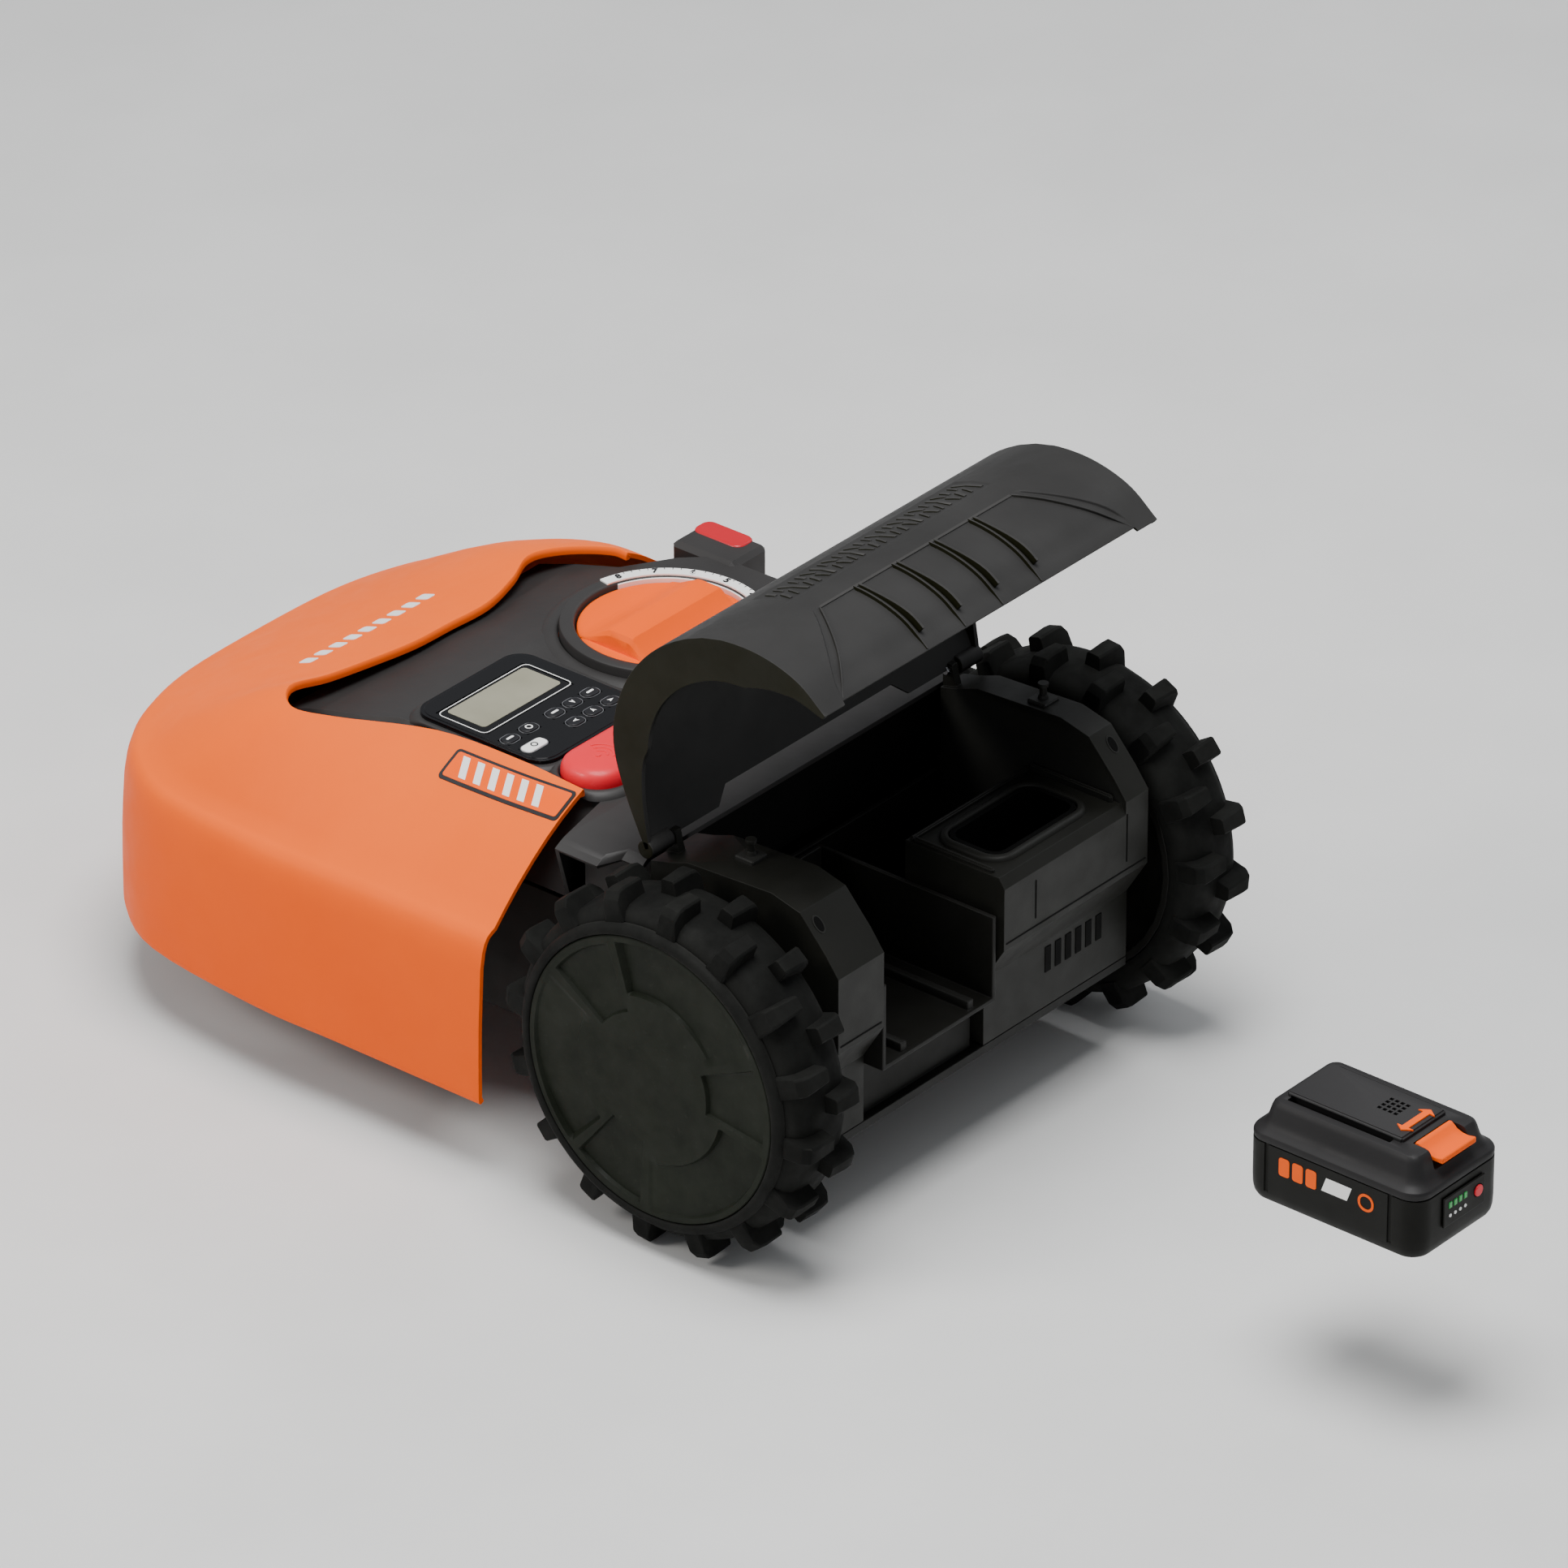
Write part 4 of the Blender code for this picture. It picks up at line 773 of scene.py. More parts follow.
def cover_section(x_top, x_low, flange):
    """One closed section: the outside with its sunk fields, then the inside going back."""
    first = 0.28 if abs(x_low) < 123.8 else 0.0
    last = 8.9 if abs(x_low) < 125.5 else 9.0
    start = PANEL_START + 0.06
    steps = [first + (5.46 - first) * k / 26 for k in range(27)]
    steps += [STRIP_START, 5.56, 5.9, 6.29, STRIP_END, 6.39, 6.6, PANEL_START - 0.04, PANEL_START, start]
    steps += [start + (last - start) * k / 14 for k in range(1, 15)]
    outer, inner = [], []
    for u in steps:
        field = smoothstep(u, PANEL_START - 0.03, PANEL_START + 0.05)
        field *= (1 - smoothstep(u, 8.4, 8.8)) if abs(x_top) < PANEL_HALF_TOP + 0.5 else 0.0
        strip = STRIP_START + 0.03 < u < STRIP_END - 0.03 and abs(x_top) < STRIP_HALF
        x = x_top + (x_low - x_top) * smoothstep(u, PANEL_START - 0.4, 8.9) ** 0.8
        outer.append((x, *on_cover(u, -1.3 * field - (0.7 if strip else 0.0))))
        depth = flange * min(1.0, 0.12 + 0.4 * u, 0.12 + 0.4 * (9 - u))
        inner.append((x_low if u > 8.8 else x, *on_cover(u, -max(depth, 1.6 + 1.3 * field))))
    return outer + inner[::-1]


def cover_bar(path, width, heights):
    """A raised bar that follows the cover's outside through (x, u) points."""
    rings = []
    for (x, u), high in zip(path, heights):
        y, z = on_cover(u, 0.0)
        out = (on_cover(u, 1.0) - on_cover(u, 0.0)).normalized()
        foot = Vector((x, y, z)) - Vector((0, out.x, out.y)) * 1.7
        top = Vector((x, y, z)) + Vector((0, out.x, out.y)) * (high - 1.3)
        half = Vector((width / 2, 0, 0))
        crown = Vector((width / 2 - min(0.19 * width, 0.4), 0, 0))
        rings.append([foot - half, foot + half, top + crown, top - crown])
    return loft(rings)


def fine_cover():
    """The hinged cover: a curved shell with crescent ends, and two barrels for its hinge."""
    edge = [(82, 124), (83, 124.8), (85.8, 125.4), (86.6, 126), (100, 129), (120, 134),
            (139.5, 139.5), (140, 140), (143, 143)]
    inside = [(PANEL_HALF_TOP * k / 8, PANEL_HALF_LOW * k / 8) for k in range(-7, 8)]
    columns = [(-a, -b) for a, b in edge[::-1]] + inside + edge
    sections = [cover_section(a, b, FLANGE_DEPTH if abs(a) >= FLANGE_X else COVER_WALL)
                for a, b in columns]
    piece("cover_skin", loft(sections), COVER, "rear_cover", 0.5, sharp=38)
    for sign, side in ((1, "left"), (-1, "right")):
        y, z = COVER_POINTS[0]
        barrel = rod((sign * 124, y, z), (sign * 143, y, z), 5.5, 40)
        piece(f"cover_barrel_{side}", barrel, COVER, "rear_cover", 0.8, 3)
    piece("cover_ribs", cover_ribs(), COVER, "rear_cover", 0.35)
    piece("cover_marks", cover_marks(), COVER, "rear_cover", 0.2)


# ---- dial and scale


def cover_ribs():
    """Four tall ribs with a thin one beside each, and the field's borders."""
    ribs = []
    for x in (49, 16.5, -15.5, -49):
        steps = [PANEL_START + 1.6 * k / 12 for k in range(13)]
        heights = [1.7 + 2.8 * smoothstep(u, 7.1, 8.25) for u in steps]
        ribs.append(cover_bar([(x, u) for u in steps], 2.4, heights))
        thin = [PANEL_START + 2.0 * k / 12 for k in range(13)]
        ribs.append(cover_bar([(x + 4.4, u) for u in thin], 1.5, [2.1] * 13))
    for sign in (1, -1):
        border = [(sign * (82 + 42 * k / 12), PANEL_START + 1.98 * k / 12) for k in range(13)]
        ribs.append(cover_bar(border, 1.8, [1.5] * 13))
    ribs.append(cover_bar([(0, PANEL_START - 0.04), (0, PANEL_START + 0.03)], 164, [1.2, 1.2]))
    return ribs


def cover_marks():
    """The frame of the sunk strip, and the plain slanted strokes that fill it."""
    marks = [cover_bar([(0, u - 0.03), (0, u + 0.03)], 178, [0.9, 0.9]) for u in (5.47, 6.39)]
    for x in (-88.2, 88.2):
        marks.append(cover_bar([(x, 5.44 + 0.98 * k / 8) for k in range(9)], 1.6, [0.9] * 9))
    for k in range(27):
        x = -81 + 6.2 * k
        lean = 2.2 if k % 3 else -2.2
        for low, high in (((5.62, 5.9), (5.96, 6.24)) if k % 4 else ((5.62, 6.24),)):
            path = [(x - lean / 2, low), (x, (low + high) / 2), (x + lean / 2, high)]
            marks.append(cover_bar(path, 2.1 if k % 2 else 3.0, [1.15] * 3))
    return marks


DIAL = (-68, -212)
DISC_PROFILE = ((193.4, 0), (193.4, 49), (194.4, 50), (201.8, 50), (202.7, 49.6), (203.2, 48.4),
                (203.2, 0))
RING_PROFILE = ((190.2, 49.8), (193.2, 49.8), (193.4, 51.2), (204.6, 51.2), (205.8, 51.9),
                (206.1, 53), (206.1, 58.6), (205.6, 59.6), (204.2, 60), (190.2, 60))
WELL_PROFILE = ((190.4, 5.4), (190.4, 50), (192.9, 50), (192.9, 5.4))
BANK_PROFILE = ((198.0, 60.5), (199.8, 60.6), (200.6, 61.5), (200.8, 64.0), (200.1, 66.6),
                (198.4, 69.5), (197.4, 69.5), (197.4, 60.5))
GRIP_FOOT_Z = 203
GRIP_SHAPE = ((-30, 0.2), (-22, 3.2), (-14, 7.6), (-9, 10.4), (-6.5, 11), (0, 11), (6, 11),
              (8.2, 10.4), (9.6, 9), (14.5, 4), (18.5, 0.6), (18.5, -3), (-30, -3))
GRIP_FADES = ((-41.5, 0.72), (-40.6, 0.3), (-38.5, 0.06), (-36, 0.0), (0, 0.0), (36, 0.0),
              (38.5, 0.06), (40.6, 0.3), (41.5, 0.72))
SCALE_START, SCALE_END = 80, 259
SCALE_TOP = 207.2
DIGITS = "12345678"
FIRST_DIGIT, DIGIT_STEP = 92, 22.4
FIRST_TICK, TICK_STEP, TICKS = 84.4, 4.7, 36
TICK_CLEARANCE = 3
DIGIT_SIZE, DIGIT_BOLD, DIGIT_DEPTH = 6.4, 0.22, 0.25


def flat_text(word, place, turn):
    """A raised digit lying flat at a place, turned about the vertical."""
    curve = bpy.data.curves.new("lettering", "FONT")
    curve.body = word
    curve.size = DIGIT_SIZE
    curve.align_x = curve.align_y = "CENTER"
    curve.extrude = DIGIT_DEPTH / 2
    curve.offset = DIGIT_BOLD
    text = linked("lettering", curve)
    mesh = bpy.data.meshes.new_from_object(
        text.evaluated_get(bpy.context.evaluated_depsgraph_get()))
    bpy.data.objects.remove(text, do_unlink=True)
    bm = bmesh.new()
    bm.from_mesh(mesh)
    bmesh.ops.remove_doubles(bm, verts=bm.verts[:], dist=WELD_MM)
    bmesh.ops.rotate(bm, verts=bm.verts[:], matrix=Matrix.Rotation(turn, 3, "Z"))
    bmesh.ops.translate(bm, vec=place, verts=bm.verts[:])
    return bm


def around_dial(radius, degrees, z):
    return Vector((*polar(DIAL, radius, degrees), z))


def dial_turned(profile, segments=128):
    return turned(profile, (*DIAL, 0), segments, "Z")


def grip_section(x, fade):
    """The grip across the dial at x, from its long front ramp over the top to its steep back."""
    return [(DIAL[0] + x, DIAL[1] + y * (1 - 0.1 * fade),
             GRIP_FOOT_Z + (z * (1 - fade) if z > 0 else z)) for y, z in GRIP_SHAPE]


def fine_dial():
    """The orange cutting-height dial with its straight grip, in a ringed well."""
    grip = loft([grip_section(x, fade) for x, fade in GRIP_FADES])
    notch = block((DIAL[0] - 54, DIAL[1] - 3, 201.4), (DIAL[0] - 43, DIAL[1] + 3, 206), 0.4)
    dial = carved(dial_turned(DISC_PROFILE), notch, join=(grip,))
    piece("height_dial_fine", dial, CONTROL_ORANGE, "height_dial", 0.7, 3, sharp=28)
    piece("dial_ring", dial_turned(RING_PROFILE), DARK, "dial_surround", 0.3, sharp=45)
    piece("dial_floor", dial_turned(WELL_PROFILE, 96), BLACK, "dial_surround", 0.2)
    fine_scale()


# ---- deck

def fine_scale():
    """The white height scale: a flat band with plain digits and ticks, and an upright band."""
    band = prism(ring_sector(DIAL, 52.0, 59.0, SCALE_START, SCALE_END, 90), 205.9, SCALE_TOP)
    piece("scale_band", band, WHITE, "height_scale", 0.35, 3, sharp=30)
    inner = prism(ring_sector(DIAL, 50.3, 51.4, 150, 252, 40), 200.2, 205.2)
    piece("scale_inner_band", inner, WHITE, "height_scale", 0.15, sharp=30)
    places = [FIRST_DIGIT + DIGIT_STEP * k for k in range(len(DIGITS))]
    inks = [flat_text(digit, around_dial(55.4, degrees, SCALE_TOP + 0.2), math.radians(degrees - 90))
            for digit, degrees in zip(DIGITS, places)]
    for k in range(TICKS):
        degrees = FIRST_TICK + TICK_STEP * k
        if min(abs(degrees - place) for place in places) > TICK_CLEARANCE:
            near, far = (around_dial(radius, degrees, SCALE_TOP + 0.05) for radius in (57.0, 58.4))
            inks.append(rod(near, far, 0.25, 8))
    piece("scale_digits", inks, INK, "height_scale")


STOP_CENTRE, STOP_SIZE, STOP_RADIUS = (56, -136), (88, 40), 18


def fine_deck():
    """The deck with a bank round the dial, a plateau under the panel and the button's collar."""
    softened("top_deck", DARK, 1.6, 3, 30)
    piece("dial_groove_bank", dial_turned(BANK_PROFILE), DARK, "top_deck", 0.2, sharp=50)
    plateau = stacked((52.0, -207.5), (93, 97), 12, 8, (
        (6.5, 198.2), (5.8, 199.6), (3.6, 201.4), (2.6, 202.0), (1.4, 202.2)), most=(101.6, FAR))
    piece("panel_plateau", loft(plateau), DARK, "top_deck", 0.3, sharp=50)
    collar = stacked(STOP_CENTRE, STOP_SIZE, STOP_RADIUS, 10, (
        (8.0, 198.0), (7.2, 199.6), (5.0, 201.6), (3.2, 202.4), (1.7, 202.2), (1.0, 201.2),
        (0.9, 196.0)), least=(-FAR, -158.4), most=(104.6, FAR))
    piece("stop_collar", loft(collar, closed_ends=False), DARK, "top_deck", sharp=50)


# ---- panel and keys

KEY_ICON = {1: "bar", 2: "up", 3: "bar", 4: "ring", 5: "bar", 6: "left", 7: "down", 8: "right",
            9: "ring"}


LIGHT_KEY = 9
KEY_GAP = 0.3
KEY_TOP = 205.9
MARK_Z = 205.95
MARK_HEIGHT = 0.12
ARROW_TURN = {"up": 90, "down": -90, "left": 180, "right": 0}
PANEL = (53.5, -207.5)
PANEL_TOP = 205
DISPLAY_LOW, DISPLAY_HIGH = (19, -243), (93, -205)


def fine_panel():
    """The glossy control panel with its display and keys."""
    plate = slab(PANEL, (91, 97), 13, 10, 200.4, 204.6)
    crown = slab(PANEL, (87, 93), 11.5, 10, 204, PANEL_TOP)
    cuts = [block((*DISPLAY_LOW, 203), (*DISPLAY_HIGH, 209))]
    keys = {k: box_mm(f"key_{k}") for k in KEY_ICON}
    for low, high in keys.values():
        cuts.append(block((low.x - KEY_GAP, low.y - KEY_GAP, 202),
                          (high.x + KEY_GAP, high.y + KEY_GAP, 209)))
    body = carved(plate, *cuts, join=(crown,))
    piece("panel_body", body, GLOSS, "control_panel", 0.5, 3)
    fine_display()
    for k, (low, high) in keys.items():
        fine_key(k, low, high)


def fine_display():
    """The display: a glossy bezel, the reflective face and a thin white line round both."""
    bezel = block((19.3, -242.7, 203.2), (92.7, -205.3, 204.7), 0.3)
    piece("display_bezel", bezel, GLOSS, "display_window", 0.1)
    face = slab((55, -225.5), (66, 28), 2.5, 6, 204.6, 204.95)
    piece("display_face_plate", face, DISPLAY, "display_window", 0.1)
    line = line_frame((56, -223.8), (75.5, 35.5), 4, 0.55, 3.5, 204.9, 205.15)
    piece("display_line", line, WHITE, "control_panel", slot="white_scale")


def fine_key(k, low, high):
    """One key: its pad, the thin outline round it and its mark."""
    middle = ((low.x + high.x) / 2, (low.y + high.y) / 2)
    size = (high.x - low.x, high.y - low.y)
    light = k == LIGHT_KEY
    pad = slab(middle, size, 3.0 if light else 3.9, 8, low.z, KEY_TOP)
    piece(f"key_{k}_pad", pad, WHITE if light else KEY, f"key_{k}", 0.7, 3)
    line = line_frame(middle, [side + 1.6 for side in size], 4.6, 0.4, 4.2, 204.9, 205.2)
    piece(f"key_{k}_outline", line, STEEL, "control_panel")
    mark = key_mark(KEY_ICON[k], middle)
    piece(f"key_{k}_mark", mark, INK if light else WHITE, f"key_{k}", slot="white_scale")


def key_mark(kind, middle):
    """A plain raised mark on a key: a ring, a bar or an arrowhead."""
    top = MARK_Z + MARK_HEIGHT
    if kind == "ring":
        return turned([(MARK_Z, 1.5), (MARK_Z, 2.3), (top, 2.3), (top, 1.5)], (*middle, 0), 32, "Z")
    if kind == "bar":
        return slab(middle, (5.6, 1.6), 0.7, 4, MARK_Z, top)
    corners = [polar(middle, reach, ARROW_TURN[kind] + degrees)
               for reach, degrees in ((2.3, 0), (2.2, 140), (0.8, 180), (2.2, 220))]
    return prism(corners, MARK_Z, top)


# ---- STOP button and charging contact

STOP_LEVELS = ((0, 191.2), (0, 203.0), (0.4, 205.6), (1.4, 207.8), (3.2, 209.6), (6.0, 210.6),
               (10.0, 211.0), (14.0, 211.1))


def fine_stop():
    """The rounded red stop button with raised arcs on its crown."""
    rings = stacked(STOP_CENTRE, STOP_SIZE, STOP_RADIUS, 12, [(-d, z) for d, z in STOP_LEVELS])
    piece("stop_button_fine", loft(rings), RED, "stop_button", sharp=60)
    arcs = [prism(ring_sector((78, -136), radius - 0.7, radius + 0.7, 110, 250, 24), 210.6, 211.5)
            for radius in (4.0, 7.5, 11.0)]
    arcs.append(rod((80, -136, 210.6), (80, -136, 211.6), 1.6, 24))
    piece("stop_arcs", arcs, RED, "stop_button", 0.25)


CONTACT_YS = (-264, -250)


def fine_contact():
    """The red holder in the right shoulder with its two plated spring strips."""
    holder = slab((-257, 191), (29.2, 13.4), 5.5, 8, -182.6, -163.4, "X")
    slots = [block((-190, y - 3.3, 188), (-170, y + 3.3, 194.6)) for y in CONTACT_YS]
    piece("contact_holder_fine", carved(holder, *slots), CONTACT_RED, "contact_holder", 0.9, 3)
    crown = slab((-172.5, -257), (16, 36), 6, 8, 196.5, 202.0)
    piece("contact_crown", crown, CONTACT_RED, "contact_holder", 1.8, 4)
    for number, y in enumerate(CONTACT_YS, 1):
        strip = block((-185, y - 3, 188.3), (-170.3, y + 3, 194.3), 1.2, 3)
        piece(f"contact_strip_{number}_fine", strip, PLATED, f"contact_strip_{number}")


# ---- plain marks on the shell

DRAPE_STEP = 4.0
ABOVE_SHELL = 400


def draped(bm, outside):
    """A flat piece laid over the shell: its heights are counted from the shell's outside."""
    low = Vector(min(v.co[i] for v in bm.verts) for i in range(3))
    high = Vector(max(v.co[i] for v in bm.verts) for i in range(3))
    for axis in (0, 1):
        count = int((high[axis] - low[axis]) / DRAPE_STEP)
        for k in range(1, count):
            place, normal = Vector(), Vector()
            place[axis] = low[axis] + (high[axis] - low[axis]) * k / count
            normal[axis] = 1
            bmesh.ops.bisect_plane(bm, geom=bm.verts[:] + bm.edges[:] + bm.faces[:],
                                   plane_co=place, plane_no=normal)
    for vert in bm.verts:
        hit = outside.ray_cast(Vector((vert.co.x, vert.co.y, ABOVE_SHELL)), Vector((0, 0, -1)))[0]
        vert.co.z += hit.z
    return bm


def shell_marks(outside):
    """A plain striped plate on the left arm, and a row of plain dashes along the brow."""
    def mark(name, flat, look, slot, sharp=35):
        piece(name, [draped(bm, outside) for bm in flat], look, "front_shell",
              sharp=sharp, slot=slot)
    centre = (119.5, -168)
    mark("arm_plate", [slab(centre, (19, 86), 2.5, 5, 0.02, 0.55)], INK, "gloss_black", 40)
    mark("arm_plate_field", [slab(centre, (15.4, 82), 1.5, 5, 0.3, 0.75)], CONTROL_ORANGE,
         "orange_control", 40)
    stripes = []
    for k in range(6):
        y = -199 + 10.6 * k
        outline = [(113.5, y - 5.5), (113.5, y - 0.5), (125.5, y + 5.5), (125.5, y + 0.5)]
        stripes.append(prism(outline, 0.6, 0.95))
    mark("arm_plate_stripes", stripes, WHITE, "white_scale")
    dashes = [slab((-29 + 12.4 * k, -357), (7.6, 9.5), 1.6, 4, 0.02, 0.4) for k in range(9)]
    mark("brow_dashes", dashes, WHITE, "white_scale")


# ---- rear housings

ON_HOUSING = "right_rear_housing"
HOUSING_REAR_Y = 80.35
SLOPE_FOOT, SLOPE_HEAD = (71, 186), (53, 206)
VENT_X, VENT_Y, VENT_Z = 127.5, 60, 198.2
VENT_HALF_LENGTH, VENT_HALF_WIDTH = 4.6, 2.5


def fine_housings():
    """The rear housings with latch plates, oval vents, a lipped pocket and louvres."""
    for side in ("left", "right"):
        softened(f"{side}_rear_housing", HOUSING, 2.2, 4, 24)
    for side, x, y in (("left", 111, -1), ("right", -125, 13)):
        plate = block((x - 6.5, y - 6.5, 208.2), (x + 6.5, y + 6.5, 212.0), 0.5)
        cap = rod((x, y, 219.5), (x, y, 221.6), 3.1, 24)
        neck = rod((x, y, 211), (x, y, 214.5), 3.4, 24, 2.4)
        piece(f"{side}_latch_plate", [plate, cap, neck], HOUSING, f"{side}_rear_housing", 0.3)
    # Each vent's hole is a flat deep-black oval laid over its rim: painted shade, not a cut.
    for side, sign in (("left", 1), ("right", -1)):
        for name, grow, look, lift in (("rim", 0.9, HOUSING, 0.35), ("hole", 0.0, PIT, 0.5)):
            piece(f"{side}_vent_{name}", vent_oval(sign * VENT_X, grow, lift), look,
                  f"{side}_rear_housing")
    lip = stacked((-60, 44), (76, 40), 10, 8, (
        (5.4, 171.5), (5.0, 173.2), (4.0, 174.4), (2.2, 174.8), (0.6, 174.5), (0.2, 173.6)),
        most=(FAR, 70.5))
    piece("pocket_lip", loft(lip, closed_ends=False), HOUSING, ON_HOUSING, sharp=50)
    # Painted shade: the module pocket is coloured deep black.
    softened("module_pocket", PIT, 1.2, 3)
    ledge = [block((-113, 11.5, 171), (-9.5, 14.5, 174.4), 0.8),
             block((-12.8, 14, 171), (-9.8, 70, 174.4), 0.8),
             block((-114.4, 14, 171), (-111.6, 72, 176.4), 0.8)]
    piece("shelf_ledge", ledge, HOUSING, ON_HOUSING, 0.3)
    piece("housing_seams", housing_seams(), PIT, ON_HOUSING)


# ---- battery pack

def fine_bulkhead():
    """The dark wall between the battery bay and the front of the chassis, under the deck."""
    wall = block((-124, -62, 150.5), (124, -59.6, 195.2), 0.8)
    piece("bay_bulkhead", wall, PIT, "battery_bay")


def vent_oval(x, grow, lift):
    """An oval on the sloping top of a rear housing."""
    slope = math.atan2(SLOPE_FOOT[1] - SLOPE_HEAD[1], SLOPE_FOOT[0] - SLOPE_HEAD[0])
    across = Vector((1, 0, 0))
    along = Vector((0, math.cos(slope), math.sin(slope)))
    out = Vector((0, -math.sin(slope), math.cos(slope)))
    rings = []
    for depth in (-1.5, lift):
        middle = Vector((x, VENT_Y, VENT_Z)) + out * depth
        oval = [polar((0, 0), 1, 360 * k / 32) for k in range(32)]
        rings.append([middle + along * (VENT_HALF_LENGTH + grow) * a
                      + across * (VENT_HALF_WIDTH + grow) * b for a, b in oval])
    return loft(rings)


def housing_seams():
    """Two level seams, six louvres and two upright seams on the rear faces."""
    seams = [block((x0, 79.2, 130.6), (x1, HOUSING_REAR_Y, 131.3)) for x0, x1 in (
        (-133, -10), (98, 133))]
    seams += [block((-112 + 9 * k, 65.2, 84), (-107 + 9 * k, 66.4, 100)) for k in range(6)]
    seams += [block((x, 79.3, 136), (x + 0.7, HOUSING_REAR_Y, top)) for x, top in (
        (-36, 160), (-116.5, 166))]
    return seams


PACK, PACK_SIZE = (43.5, 373), (75, 116)
BASE_LEVELS = ((8, 105), (4.6, 105.6), (2.2, 107.2), (0.8, 109.8), (0.2, 113), (0, 118), (0, 142.6))
TOP_LEVELS = ((0.2, 143.2), (0, 144.2), (0, 146.2), (0.6, 147.4), (1.8, 148.2), (3.4, 149.2),
              (5.0, 150.8), (6.4, 153.4), (7.4, 156.6), (8.3, 160.0), (9.2, 162.2), (10.6, 163.5),
              (12.8, 164))
ARROW = ((30.5, 400.5), (34.5, 394.8), (34.5, 398.2), (53, 398.2), (53, 394.8), (57, 400.5),
         (53, 406), (53, 402.6), (34.5, 402.6), (34.5, 406))
RELEASE = ((410.7, 157.7), (410.7, 163.6), (411.4, 164.7), (413, 165), (414.6, 164.0), (417, 162.0),
           (420.5, 160.8), (424, 160.5), (427, 161.0), (428.8, 161.6), (429.4, 160.8),
           (429.4, 157.7))


def pack_ring(draw_in, z):
    """The pack's rounded plan at height z, drawn in all round."""
    outline = rounded_rectangle(PACK, [side - 2 * draw_in for side in PACK_SIZE],
                                max(2.0, 12.0 - draw_in * 0.6), 10)
    return [(x, y, z) for x, y in outline]


def fine_battery():
    """The drawn-out pack: dark base, scooped grey rail top, orange release and charge gauge."""
    base = loft([pack_ring(*level) for level in BASE_LEVELS])
    grooves = [block((x, y - 1.3, 113), (x + 3.9, y + 1.3, 144)) for x in (80.1, 3) for y in (330, 412)]
    piece("battery_base_fine", carved(base, *grooves), PACK_BLACK, "battery_base", 0.5, sharp=28)
    fine_pack_top()
    piece("latch_arrow", prism(ARROW, 166.6, 167.9), CONTROL_ORANGE, "battery_top", 0.35,
          slot="orange_control")
    piece("battery_release_fine", prism(RELEASE, 28.6, 58.4, "X"), CONTROL_ORANGE,
          "battery_release", 1.0, 3, sharp=50)
    softened("gauge_plate", PACK_BLACK, 0.5, 3)
    softened("gauge_button", RED, 0.5, 3)
    gauge_marks()
    for side, x in (("left", 80.8), ("right", 5.75)):
        pack_marks(side, x)


def fine_pack_top():
    """The rail top: a raised tower with a slot each side, a thumb scoop and a grid of holes."""
    tower = block((24, 329, 158), (63, 406, 167), 1.1, 3)
    cuts = [block((28, 410, 153), (59, 446, 176))]
    cuts += [block((x, 332, 159.6), (x + 5.4, 400, 165.2)) for x in (60.8, 20.8)]
    cuts += [block((33 + 3.6 * i, 376 + 3.6 * j, 164.6), (35.2 + 3.6 * i, 378.2 + 3.6 * j, 169))
             for i in range(4) for j in range(4)]
    top = carved(loft([pack_ring(*level) for level in TOP_LEVELS]), *cuts, join=(tower,))
    piece("battery_top_fine", top, PACK_GREY, "battery_top", 0.45, sharp=28)
    # Painted shade: a deep-black floor laid in the bottom of each slot.
    for k, x in enumerate((61.0, 21.0), 1):
        slot = block((x, 332.2, 159.7), (x + 5, 399.8, 160.6))
        piece(f"battery_slot_floor_{k}", slot, PIT, "battery_top", slot="black_plastic")


def gauge_marks():
    """Four green charge lamps over four pale dots on the pack's rear face."""
    xs = [40 + 4.4 * k for k in range(4)]
    lamps = [block((x, 432.0, 130.5), (x + 2.8, 432.9, 134.4), 0.3) for x in xs]
    piece("gauge_lamps", lamps, LAMP, "gauge_plate")
    dots = [rod((x + 1.4, 432.2, 126), (x + 1.4, 432.85, 126), 1.0, 16) for x in xs]
    piece("gauge_dots", dots, WHITE, "gauge_plate", slot="white_scale")


def pack_marks(side, x):
    """Plain blocks, a plain bar and a ring on one long side of the pack, raised from x."""
    top = x + 0.45
    warm = [slab((y, 132.5), (7.0, 11), 1.6, 4, x, top, "X") for y in (342, 351, 360)]
    warm.append(line_frame((396.5, 132), (10.5, 10.5), 5.0, 1.45, 3.6, x, top, "X"))
    piece(f"pack_warm_marks_{side}", warm, CONTROL_ORANGE, "battery_base", slot="orange_control")
    plain = prism([(367, 128.5), (384, 128.5), (387, 137), (370, 137)], x, top, "X")
    piece(f"pack_plain_mark_{side}", plain, WHITE, "battery_base", slot="white_scale")


# ---- pieces kept close to the CAD

PLAIN_PIECES = [
    ("dial_screw", STEEL, 0.4),
    ("battery_bay", BLACK, 0.8),
    ("bay_terminals", BLACK, 0.5),
    ("chassis_tub", BLACK, 1.5),
    ("main_board", BOARD, 0.3),
    ("shell_mount", MOUNT_RUBBER, 1.0),
    ("height_carriage", BLACK, 1.0),
    ("blade_motor", CAN, 1.2),
    ("cutting_disc", BLACK, 0.8),
    ("blade_screw_1", STEEL, 0.3),
    ("blade_screw_2", STEEL, 0.3),
    ("blade_screw_3", STEEL, 0.3),
    ("blade_1", STEEL, 0.2),
    ("blade_2", STEEL, 0.2),
    ("blade_3", STEEL, 0.2),
]


# ---- camera, light and floor

SENSOR_WIDTH = 36
VIEW_DISTANCE = 7
VIEW_WIDTH = 0.871
VIEW_SHIFT = (-0.0537, 0.18)
VIEW_BACK = Vector((0.6693, 0.5537, 0.4955))
VIEW_SIDE = Vector((-0.6374, 0.7705, 0))
VIEW_UP = Vector((-0.3818, -0.3158, 0.8686))


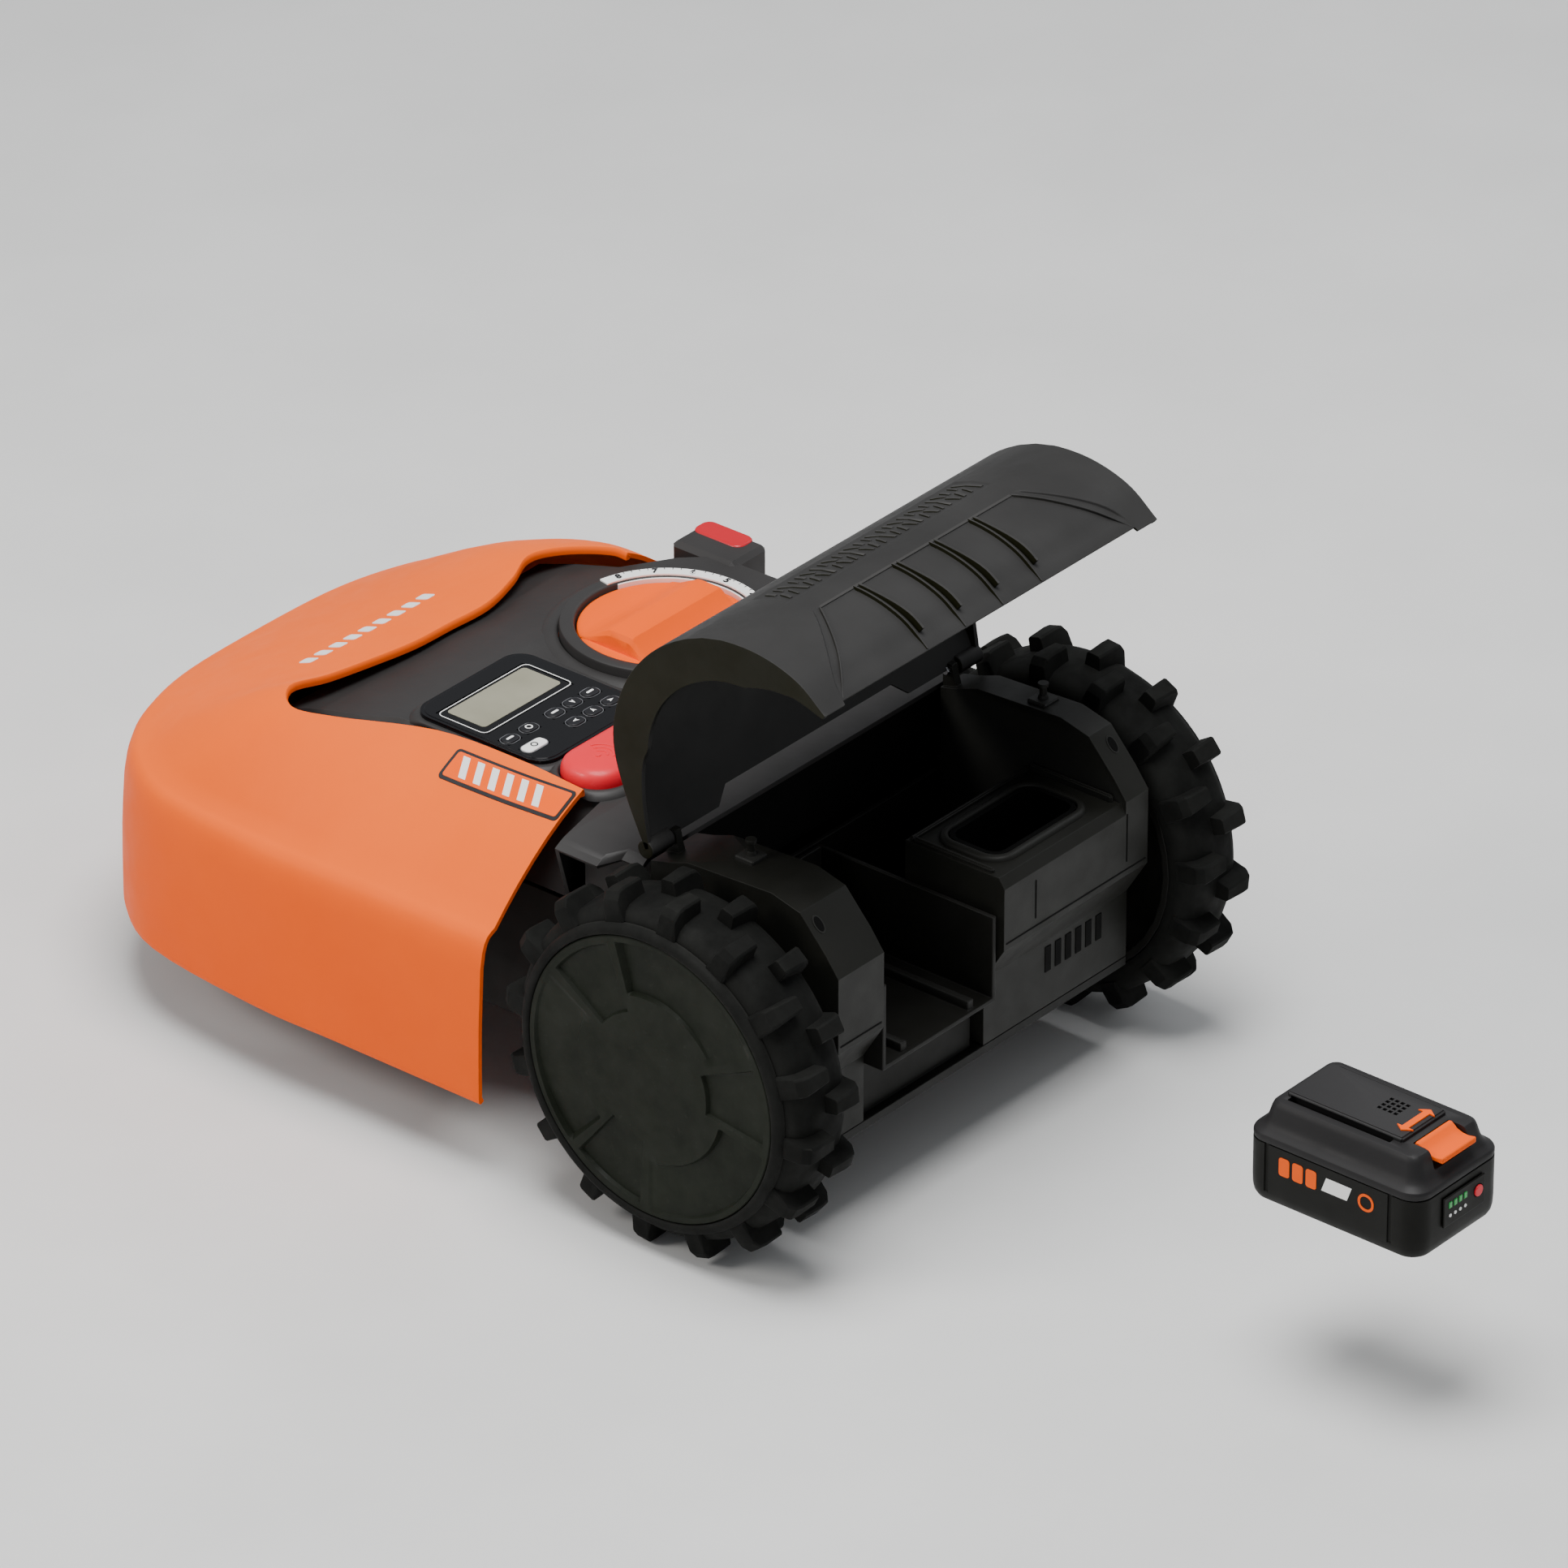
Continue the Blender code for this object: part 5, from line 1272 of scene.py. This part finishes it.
LIGHT_AIM = Vector((0, 0, 0.12))
SKY_COLOUR, SKY_STRENGTH = (0.93, 0.96, 1.0, 1), 0.38
LIGHTS = (("overhead", (0.3, 0.1, 2.6), 1.6, 84, (1, 1, 1)),
          ("key", (2.2, -1.4, 1.9), 1.1, 34, (1.0, 0.97, 0.93)),
          ("fill", (-2.1, 0.2, 1.7), 1.4, 9, (0.95, 0.97, 1.0)))
FLOOR_HALF, FLOOR_LOW, FLOOR_HIGH = 9, -0.02, -0.0005


def make_camera():
    """The camera of the photo, whose frame is VIEW_WIDTH metres wide at the mower."""
    data = bpy.data.cameras.new("camera")
    data.sensor_width = SENSOR_WIDTH
    data.lens = SENSOR_WIDTH * VIEW_DISTANCE / VIEW_WIDTH
    data.clip_end = 60
    camera = linked("camera", data)
    target = AXLE + VIEW_SIDE * VIEW_SHIFT[0] + VIEW_UP * VIEW_SHIFT[1]
    camera.location = target + VIEW_BACK * VIEW_DISTANCE
    camera.rotation_euler = (-VIEW_BACK).to_track_quat("-Z", "Y").to_euler()
    bpy.context.scene.camera = camera


def area_light(name, place, size, power, colour):
    """A round light, in metres and watts, that points at the mower."""
    data = bpy.data.lights.new(name, "AREA")
    data.shape = "DISK"
    data.size = size
    data.energy = power
    data.color = colour
    light = linked(name, data)
    light.location = place
    light.rotation_euler = (LIGHT_AIM - Vector(place)).to_track_quat("-Z", "Y").to_euler()


def make_studio():
    """Soft daylight from above and from the mower's front left, over a pale matt floor."""
    world = bpy.data.worlds.new("studio")
    world.use_nodes = True
    sky = world.node_tree.nodes["Background"].inputs
    sky["Color"].default_value = SKY_COLOUR
    sky["Strength"].default_value = SKY_STRENGTH
    bpy.context.scene.world = world
    for light in LIGHTS:
        area_light(*light)
    corners = [(x * FLOOR_HALF, y * FLOOR_HALF) for x, y in ((-1, -1), (1, -1), (1, 1), (-1, 1))]
    floor = link("floor", prism(corners, FLOOR_LOW, FLOOR_HIGH))
    matt = Finish("floor_matt", 0.85, specular=0.3)
    matt.colour(matt.ramp(matt.noise(6, 4), (0.72, 0.72, 0.71), (0.76, 0.76, 0.75)))
    floor.data.materials.append(matt.bump((matt.noise(160, 3), 0.05)))


shell_marks(fine_front_shell())
fine_wheels()
fine_cover()
fine_dial()
fine_deck()
fine_panel()
fine_stop()
fine_contact()
fine_housings()
fine_bulkhead()
fine_battery()
for node, look, bevel in PLAIN_PIECES:
    softened(node, look, bevel)
make_camera()
make_studio()
